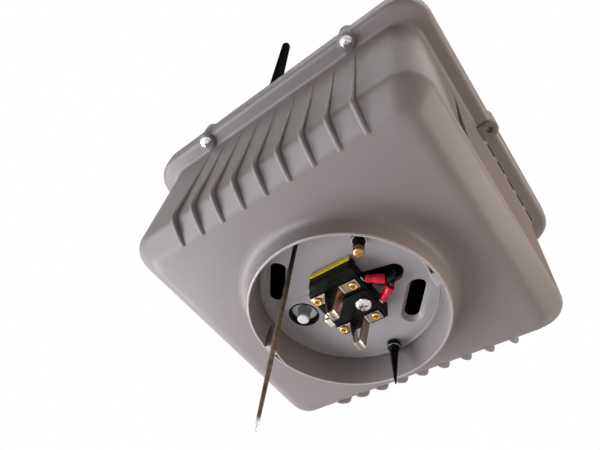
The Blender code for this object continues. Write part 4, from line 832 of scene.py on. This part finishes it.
def strip_points(path, thickness, bend):
    """Outline of a folded strip with rounded bends, from its centre line in the X-Z plane."""
    smooth = [Vector(path[0])]
    for before, here, after in zip(path, path[1:], path[2:]):
        here = Vector(here)
        into, out = (Vector(before) - here), (Vector(after) - here)
        reach = min(bend, into.length * 0.45, out.length * 0.45)
        start, end = here + into.normalized() * reach, here + out.normalized() * reach
        smooth += [start.lerp(here, t).lerp(here.lerp(end, t), t) for t in (0.0, 0.25, 0.5, 0.75, 1.0)]
    smooth.append(Vector(path[-1]))
    left, right = [], []
    for index, here in enumerate(smooth):
        along = (smooth[min(index + 1, len(smooth) - 1)] - smooth[max(index - 1, 0)]).normalized()
        side = Vector((-along.y, along.x)) * thickness / 2
        left.append(here + side)
        right.append(here - side)
    return left + right[::-1]


def folded_strip(path, thickness, width, middle, bend=0.9):
    """A flat strip folded along its path; the slanting faces round each fold take the second material, a
    painted highlight.
    """
    bm = bmesh.new()
    points = [(point.x, middle - width / 2, point.y)
              for point in strip_points(path, thickness, bend)]
    pushed_outline(bm, points, (0.0, width, 0.0))
    soften(bm, [edge for edge in bm.edges
                if len(edge.link_faces) == 2 and edge.calc_face_angle(0.0) > 1.2], 0.12)
    bmesh.ops.recalc_face_normals(bm, faces=bm.faces)
    # the slanting faces round each fold take the second material: a painted highlight
    for face in bm.faces:
        across, along, up = (abs(part) for part in face.normal)
        face.material_index = int(along < 0.3 and across > 0.3 and up > 0.3)
    return bm


class ACCESSPOINT_OT_contacts(PieceOperator, Operator):
    """Add the folded contact blades, the short third contact and the brass eyelets"""
    bl_idname = "access_point.contacts"
    bl_label = "Add Contacts"

    def build(self, scene):
        settings = scene.access_point_plug
        thick, width, tip = (settings.blade_thickness / MM, settings.blade_width / MM,
                             -settings.blade_tip / MM)
        seat = PLUG_FACE - 0.3 - thick / 2
        for name, first, last, shift in (("line_blade", EYELETS[0], EYELETS[1], -0.2),
                                         ("load_blade", EYELETS[3], EYELETS[2], 0.2)):
            path = [(first[0] + 2.6, seat), (3.6, seat), (1.2, tip), (-1.8, tip), (-4.6, seat),
                    (last[0] - 2.6, seat)]
            bm = folded_strip(path, thick, width, first[1] + shift)
            # bright nickel on the folds is a painted highlight
            finish(f"{name}_strip", bm, "strip", name, second="bright")
        # the third contact is a metal strip, made bright nickel all over as a painted highlight
        path = [(-7.5, seat), (-12.9, seat), (-12.9, seat - 5.2), (-8.9, seat - 5.2)]
        finish("earth_contact_strip", folded_strip(path, thick, 5.0, 0.2, 2.5), "bright",
               "earth_contact")
        for number, centre in enumerate(EYELETS, 1):
            turned(f"brass_eyelet_{number}", "brass", f"eyelet_{number}", [
                (1.15, -2.8), (1.5, -2.8), (1.5, -6.5), (1.95, -6.5), (2.15, -6.7), (2.12, -7.0),
                (1.95, -7.28), (1.7, -7.42), (1.4, -7.3), (1.2, -6.9)], centre, 32, closed=True)


def pan_head(centre, seat, head, height, shank, length, washer=0.0):
    """A pan head screw hanging head down, with a threaded shank and a cross recess."""
    bm = bmesh.new()
    profile = [(0.0, seat + length), (shank - 0.4, seat + length)]
    profile += thread(shank, seat, seat + length - 0.5)
    if washer:
        profile += [(washer - 0.2, seat), (washer, seat - 0.25), (washer - 0.15, seat - 0.6),
                    (head, seat - 0.7)]
    else:
        profile += [(head - 0.1, seat), (head, seat - 0.2)]
    profile += [(head * radius, seat - height * share) for radius, share in (
        (1.0, 0.45), (0.95, 0.66), (0.82, 0.86), (0.55, 0.97), (0.0, 1.0))]
    spin(bm, profile, centre, 40)
    mouth = seat - height + 0.35
    for turn in (0.35, 0.35 + math.pi / 2):
        cutter = bmesh.new()
        place = at(centre, mouth) @ Matrix.Rotation(turn, 4, "Z")
        verts = bmesh.ops.create_cube(cutter, size=1.0, matrix=place @ Matrix.Diagonal(
            (head * 1.25, head * 0.34, 2.6, 1.0)))["verts"]
        bmesh.ops.scale(cutter, vec=(0.5, 0.5, 1.0), verts=[vert for vert in verts if vert.co.z > mouth],
                        space=Matrix.Translation((-centre[0], -centre[1], 0.0)))
        bm = carve(bm, cutter)
    return bm


class ACCESSPOINT_OT_screws(PieceOperator, Operator):
    """Add the cover screws and the plug's screw"""
    bl_idname = "access_point.screws"
    bl_label = "Add Screws"

    def build(self, scene):
        for number, centre in enumerate(SCREWED_BOSSES, 1):
            bm = pan_head(centre, seat=87.6, head=3.1, height=2.7, shank=1.9, length=17.1, washer=4.0)
            finish(f"flange_screw_{number}", bm, "zinc", f"cover_screw_{number}")
        bm = pan_head(PLUG_SCREW, seat=PLUG_FACE - 1.4, head=4.1, height=2.4, shank=1.9, length=17.9)
        finish("plug_pan_screw", bm, "zinc", "plug_screw")


def wire(name, points, radius, look, node):
    """A round wire along given points, made a mesh."""
    curve = bpy.data.curves.new(name, "CURVE")
    curve.dimensions = "3D"
    curve.bevel_depth = radius * MM
    curve.bevel_resolution = 4
    curve.use_fill_caps = True
    curve.resolution_u = 6
    spline = curve.splines.new("BEZIER")
    spline.bezier_points.add(len(points) - 1)
    for knot, point in zip(spline.bezier_points, points):
        knot.co = Vector(point) * MM
        knot.handle_left_type = knot.handle_right_type = "AUTO"
    shown = bpy.data.objects.new(name, curve)
    bpy.context.scene.collection.objects.link(shown)
    solid = shown.evaluated_get(bpy.context.evaluated_depsgraph_get())
    bm = bmesh.new()
    bm.from_mesh(solid.to_mesh())
    solid.to_mesh_clear()
    bpy.data.objects.remove(shown)
    bpy.data.curves.remove(curve)
    bmesh.ops.remove_doubles(bm, verts=bm.verts[:], dist=1e-6)
    bmesh.ops.scale(bm, vec=(1 / MM, 1 / MM, 1 / MM), verts=bm.verts[:])
    finish(name, bm, look, node)


class ACCESSPOINT_OT_leads(PieceOperator, Operator):
    """Add the red crimp sleeves, their tongues and the black leads"""
    bl_idname = "access_point.leads"
    bl_label = "Add Leads"

    def build(self, scene):
        radius = scene.access_point_plug.sleeve_radius / MM
        for pole, (start, angle, route) in LEADS.items():
            place = (at(start, CRIMP_HEIGHT)
                     @ Matrix.Rotation(math.radians(angle), 4, "Z")
                     @ Matrix.Rotation(math.pi / 2, 4, "Y"))
            bm = bmesh.new()
            waist = ((0.80, 1.2), (0.86, 1.45), (0.88, 3.4), (0.84, 3.9), (0.82, 4.6), (0.86, 5.2),
                     (0.98, 5.9), (1.0, 10.2), (0.96, 10.6))
            spin(bm, [(1.4, 1.2)] + [(radius * share, along) for share, along in waist] + [(1.45, 10.6)],
                 steps=36, closed=True)
            bmesh.ops.transform(bm, matrix=place, verts=bm.verts)
            finish(f"{pole}_red_sleeve", bm, "red", f"{pole}_crimp_sleeve")
            bm = bmesh.new()
            block(bm, *box_mm(f"{pole}_crimp_tongue"), 0.15, 2)
            finish(f"{pole}_tongue", bm, "zinc", f"{pole}_crimp_tongue")
            near = place @ Vector((0.0, 0.0, CRIMP_END))
            wire(f"{pole}_wire", (tuple(near),) + route, LEAD_RADIUS, "cable", f"{pole}_lead")


class ACCESSPOINT_OT_adjusting_screws(PieceOperator, Operator):
    """Add the two bushes, the pointed screw and the brass-tipped screw"""
    bl_idname = "access_point.adjusting_screws"
    bl_label = "Add Adjusting Screws"

    def build(self, scene):
        for node, centre in (("pointed_screw_bush", POINTED_SCREW), ("brass_tip_screw_bush", BRASS_SCREW)):
            bm = bmesh.new()
            spin(bm, [(3.3, 7.0), (3.3, 2.7), (3.55, 2.7), (3.7, 2.5), (3.7, -0.3), (3.55, -0.55),
                      (3.3, -0.6), (3.0, -0.5), (2.87, -0.2), (2.87, 7.0)], centre, 40, closed=True)
            for face in bm.faces:  # a lighter zinc rim round the mouth, a painted highlight
                spot = face.calc_center_median() - Vector((*centre, 0.0))
                face.material_index = int(spot.z < BUSH_HIGHLIGHT_HEIGHT and spot.xy.length > BUSH_BORE)
            finish(f"{node}_ring", bm, "black_steel", node, second="zinc")
        point = [(2.45, -2.6), (2.35, -3.2), (0.50, -23.2), (0.32, -24.1), (0.0, -24.5)]
        turned("pointed_screw_body", "black_steel", "pointed_screw",
               [(0.0, 12.0), (2.3, 12.0)] + thread(2.75, -1.6, 11.6) + point, POINTED_SCREW, 36,
               body="pointed_screw")
        turned("brass_tip_screw_body", "black_steel", "brass_tip_screw",
               [(0.0, 13.0), (2.3, 13.0)] + thread(2.75, -6.3, 12.6) + [(2.3, -6.6), (0.0, -6.6)],
               BRASS_SCREW, 36, body="brass_tip_screw")
        turned("brass_screw_tip", "copper", "brass_tip", [
            (0.0, -6.9), (2.7, -6.9), (2.9, -7.2), (2.88, -9.4), (2.6, -10.1), (2.0, -10.5),
            (0.0, -10.6)], BRASS_SCREW, 40, "brass_tip_screw")


class ACCESSPOINT_OT_guide_rod(PieceOperator, Operator):
    """Add the long thin rod that hangs through the plate"""
    bl_idname = "access_point.guide_rod"
    bl_label = "Add Guide Rod"

    def build(self, scene):
        turned("guide_rod_body", "rod", "guide_rod", [
            (0.0, 8.7), (2.2, 8.65), (2.7, 8.2), (2.8, 6.5), (2.6, 6.3), (1.1, 6.3), (1.1, -20.0),
            (1.08, -55.0), (0.92, -75.0), (0.72, -92.0), (0.68, -94.0), (0.62, -97.6), (0.4, -98.7),
            (0.0, -99.0)], GUIDE_ROD, 28)


# ---------------------------------------------------------------- antenna
def knurled_ring(bm, centre, inner, outer, low, high, steps=72):
    """A ring whose outside alternates between ridge and groove."""
    verts = spin(bm, [(inner, high), (outer - 0.45, high), (outer, high - 0.5), (outer, low + 0.5),
                      (outer - 0.45, low), (inner, low)], centre, steps, closed=True)
    middle = Vector((*centre, 0.0))
    grooves = [vert for vert in verts if (vert.co.xy - middle.xy).length > outer - 0.1
               and round(math.atan2(vert.co.y - middle.y, vert.co.x - middle.x) / math.tau * steps) % 2]
    bmesh.ops.scale(bm, vec=(0.95, 0.95, 1.0), verts=grooves, space=Matrix.Translation(-middle))


def half_round(sign=1.0):
    """Half a circle of the knuckle's radius, as (across, up)."""
    return [(sign * KNUCKLE_RADIUS * math.cos(math.pi * step / 16),
             sign * KNUCKLE_RADIUS * math.sin(math.pi * step / 16)) for step in range(17)]


class ACCESSPOINT_OT_antenna(PieceOperator, Operator):
    """Add the swivel antenna with its connector, seal, knurled nut, knuckle and whip"""
    bl_idname = "access_point.antenna"
    bl_label = "Add Antenna"

    def build(self, scene):
        self.foot()
        self.knuckle()
        settings = scene.access_point_antenna
        self.whip(settings.whip_length / MM, settings.whip_tip / MM, settings.lean)

    def foot(self):
        """Seal, connector with its hexagon, and knurled coupling."""
        turned("antenna_seal_ring", "rubber", "antenna_seal", [
            (3.5, 116.0), (7.6, 116.0), (8.1, 115.7), (8.2, 115.2), (8.0, 114.6), (7.6, 114.4),
            (3.5, 114.4)], ANTENNA, 48, closed=True)
        bm = bmesh.new()
        low, high = box_mm("antenna_connector")
        rod(bm, 6.4, 2.6, at(ANTENNA, 117.6), 6)
        soften(bm, bm.edges[:], 0.25)
        spin(bm, [(0.0, high.z), (2.9, high.z)] + thread(3.2, 118.7, high.z - 0.3, 0.7) + [(0.0, 118.7)],
             ANTENNA, 36)
        spin(bm, [(0.0, 116.5)] + thread(3.2, low.z + 0.3, 116.5, 0.7) + [(0.0, low.z + 0.3)],
             ANTENNA, 36)
        finish("bulkhead_connector", bm, "strip", "antenna_connector")
        bm = bmesh.new()
        low, high = box_mm("antenna_coupling")
        knurled_ring(bm, ANTENNA, 3.5, 5.6, low.z, high.z)
        finish("knurled_coupling", bm, "zinc", "antenna_coupling")

    def knuckle(self):
        """Swivelling foot with its two ears, and the pin through them."""
        foot, top = box_mm("antenna_swivel")[0].z, PIVOT_HEIGHT - 5.7
        bm = bmesh.new()
        spin(bm, [(0.0, top), (5.4, top), (6.0, top - 0.5), (6.2, top - 1.2), (6.2, foot + 1.6),
                  (5.9, foot + 1.3), (5.9, foot + 0.9), (6.2, foot + 0.6), (6.0, foot), (0.0, foot)],
             ANTENNA, 48)
        ear = [(across, PIVOT_HEIGHT + up) for across, up in half_round()]
        ear += [(-KNUCKLE_RADIUS, top - 1.5), (KNUCKLE_RADIUS, top - 1.5)]
        for side in (-4.0, 4.0):
            pushed_outline(bm, [(ANTENNA[0] + side - 1.5, ANTENNA[1] + across, up) for across, up in ear],
                           (3.0, 0.0, 0.0), 0.4, 2)
        finish("antenna_knuckle", bm, "black", "antenna_swivel", body="antenna_swivel")
        bm = bmesh.new()
        rod(bm, 1.25, 11.4, at(ANTENNA, PIVOT_HEIGHT)
            @ Matrix.Rotation(math.pi / 2, 4, "Y"), 32)
        soften(bm, bm.edges[:], 0.2)
        finish("knuckle_pin", bm, "zinc", "antenna_pivot_pin", body="antenna_swivel")

    def whip(self, length, tip, lean):
        """Sleeve, tapering whip with a round end, and the flat tongue on the pivot."""
        bm = bmesh.new()
        dome = [(tip * math.sin(math.radians(angle)), length - tip + tip * math.cos(math.radians(angle)))
                for angle in range(0, 91, 10)]
        spin(bm, dome + [(5.05, 33.0), (5.1, 32.0), (5.45, 31.2), (5.6, 30.5), (5.6, 13.4), (5.4, 13.1),
                         (5.4, 12.7), (5.6, 12.4), (5.5, 11.2), (4.9, 10.5), (0.0, 10.5)])
        tongue = half_round(-1.0) + [(4.2, 11.5), (-4.2, 11.5)]
        pushed_outline(bm, [(-2.2, across, up) for across, up in tongue], (4.4, 0.0, 0.0), 0.35, 2)
        place = at(ANTENNA, PIVOT_HEIGHT) @ Matrix.Rotation(lean, 4, "X")
        bmesh.ops.transform(bm, matrix=place, verts=bm.verts)
        finish("antenna_whip_body", bm, "whip", "antenna_whip", "antenna_whip")


class ACCESSPOINT_OT_painted(PieceOperator, Operator):
    """Give their finishes to the CAD pieces that keep their shape"""
    bl_idname = "access_point.painted"
    bl_label = "Finish Hidden Pieces"

    def build(self, scene):
        looks = finishes()
        for node, look in PAINTED.items():
            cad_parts[node].material_slots[0].material = looks[look]


# ---------------------------------------------------------------- stage
def area_light(name, place, aim, width, power, tint):
    lamp = bpy.data.lights.new(name, "AREA")
    lamp.shape = "SQUARE"
    lamp.size = width
    lamp.energy = power
    lamp.color = tint
    item = bpy.data.objects.new(name, lamp)
    bpy.context.scene.collection.objects.link(item)
    item.location = place
    item.rotation_euler = (Vector(aim) - Vector(place)).to_track_quat("-Z", "Y").to_euler()
    item.visible_diffuse = name != REFLECTION_ONLY


def direct_ray(tree):
    """One for rays from the camera, in reflections and through glass, zero for the rest."""
    ray = add(tree, "LightPath").outputs
    seen = math_node(tree, "MAXIMUM", ray["Is Camera Ray"], ray["Is Transmission Ray"])
    return math_node(tree, "MAXIMUM", seen, ray["Is Glossy Ray"])


def white_world(scene):
    """White to the camera, to reflections and through glass; plain soft light for the rest."""
    scene.world = bpy.data.worlds.new("studio")
    scene.world.use_nodes = True
    tree = scene.world.node_tree
    tree.nodes.clear()
    soft = add(tree, "Background", {"Strength": SOFT_LIGHT, "Color": SOFT_TINT}).outputs[0]
    bright = add(tree, "Background", {"Strength": 1.0, "Color": (*WHITE, 1.0)}).outputs[0]
    mix = add(tree, "MixShader", {"Fac": direct_ray(tree), 1: soft, 2: bright}).outputs[0]
    add(tree, "OutputWorld", {"Surface": mix})


def dress_floor(tree, shader, vector):
    """Pale floor that is see-through from below, so it never hides the underside."""
    shader.inputs["Base Color"].default_value = (0.86, 0.86, 0.86, 1.0)
    shader.inputs["Emission Color"].default_value = (*WHITE, 1.0)
    tree.links.new(math_node(tree, "MULTIPLY", direct_ray(tree), FLOOR_GLOW),
                   shader.inputs["Emission Strength"])
    below = add(tree, "NewGeometry").outputs["Backfacing"]
    clear = add(tree, "BsdfTransparent").outputs[0]
    mix = add(tree, "MixShader", {"Fac": below, 1: shader.outputs[0], 2: clear}).outputs[0]
    tree.links.new(mix, tree.nodes["Material Output"].inputs["Surface"])


class ACCESSPOINT_OT_stage(PieceOperator, Operator):
    """Add the camera at the photograph's angle, the floor and the lamps"""
    bl_idname = "access_point.stage"
    bl_label = "Add Stage"

    def build(self, scene):
        scene.view_settings.view_transform = "Standard"
        lens = bpy.data.cameras.new("camera")
        lens.lens = FOCAL_LENGTH
        lens.sensor_width = 36.0
        lens.clip_start = 0.01
        scene.camera = bpy.data.objects.new("camera", lens)
        scene.collection.objects.link(scene.camera)
        forward, up = Vector(CAMERA_FORWARD), Vector(CAMERA_UP)
        turn = Matrix((forward.cross(up), up, -forward)).transposed().to_4x4()
        scene.camera.matrix_world = Matrix.Translation(CAMERA_PLACE) @ turn

        bm = bmesh.new()
        bmesh.ops.create_grid(bm, x_segments=1, y_segments=1, size=FLOOR_HALF,
                              matrix=Matrix.Translation((0.0, 0.0, FLOOR_HEIGHT)))
        mesh = bpy.data.meshes.new("floor")
        bm.to_mesh(mesh)
        bm.free()
        floor = bpy.data.objects.new("floor", mesh)
        mesh.materials.append(material("pale_floor", 0.8, 0.0, dress_floor))
        scene.collection.objects.link(floor)
        for lamp in LAMPS:
            area_light(*lamp)
        white_world(scene)


# ---------------------------------------------------------------- panel and registration
class ACCESSPOINT_PT_sidebar(Panel):
    """Buttons that add each piece, and the sizes and colours they use"""
    bl_label = "Access Point"
    bl_idname = "ACCESSPOINT_PT_sidebar"
    bl_space_type = "VIEW_3D"
    bl_region_type = "UI"
    bl_category = "Access Point"

    def draw(self, context):
        layout = self.layout
        for operator in OPERATORS:
            layout.operator(operator.bl_idname)
        for group in SETTINGS:
            box = layout.box()
            settings = getattr(context.scene, group)
            for name in settings.bl_rna.properties.keys():
                if name not in {"rna_type", "name"}:
                    box.prop(settings, name)


OPERATORS = (
    ACCESSPOINT_OT_stage, ACCESSPOINT_OT_housing, ACCESSPOINT_OT_cover, ACCESSPOINT_OT_plate,
    ACCESSPOINT_OT_light_sensor, ACCESSPOINT_OT_plug, ACCESSPOINT_OT_contacts,
    ACCESSPOINT_OT_screws, ACCESSPOINT_OT_leads, ACCESSPOINT_OT_adjusting_screws,
    ACCESSPOINT_OT_guide_rod, ACCESSPOINT_OT_antenna, ACCESSPOINT_OT_painted,
)
SETTINGS = {
    "access_point_housing": HousingSettings,
    "access_point_plug": PlugSettings,
    "access_point_antenna": AntennaSettings,
    "access_point_finishes": FinishSettings,
}


def register():
    for group, settings in SETTINGS.items():
        bpy.utils.register_class(settings)
        setattr(bpy.types.Scene, group, PointerProperty(type=settings))
    for item in OPERATORS + (ACCESSPOINT_PT_sidebar,):
        bpy.utils.register_class(item)


def unregister():
    for item in reversed(OPERATORS + (ACCESSPOINT_PT_sidebar,)):
        bpy.utils.unregister_class(item)
    for group, settings in SETTINGS.items():
        delattr(bpy.types.Scene, group)
        bpy.utils.unregister_class(settings)


def main():
    register()
    for operator in OPERATORS:
        getattr(bpy.ops.access_point, operator.bl_idname.split(".")[1])()


if __name__ == "__main__":
    main()
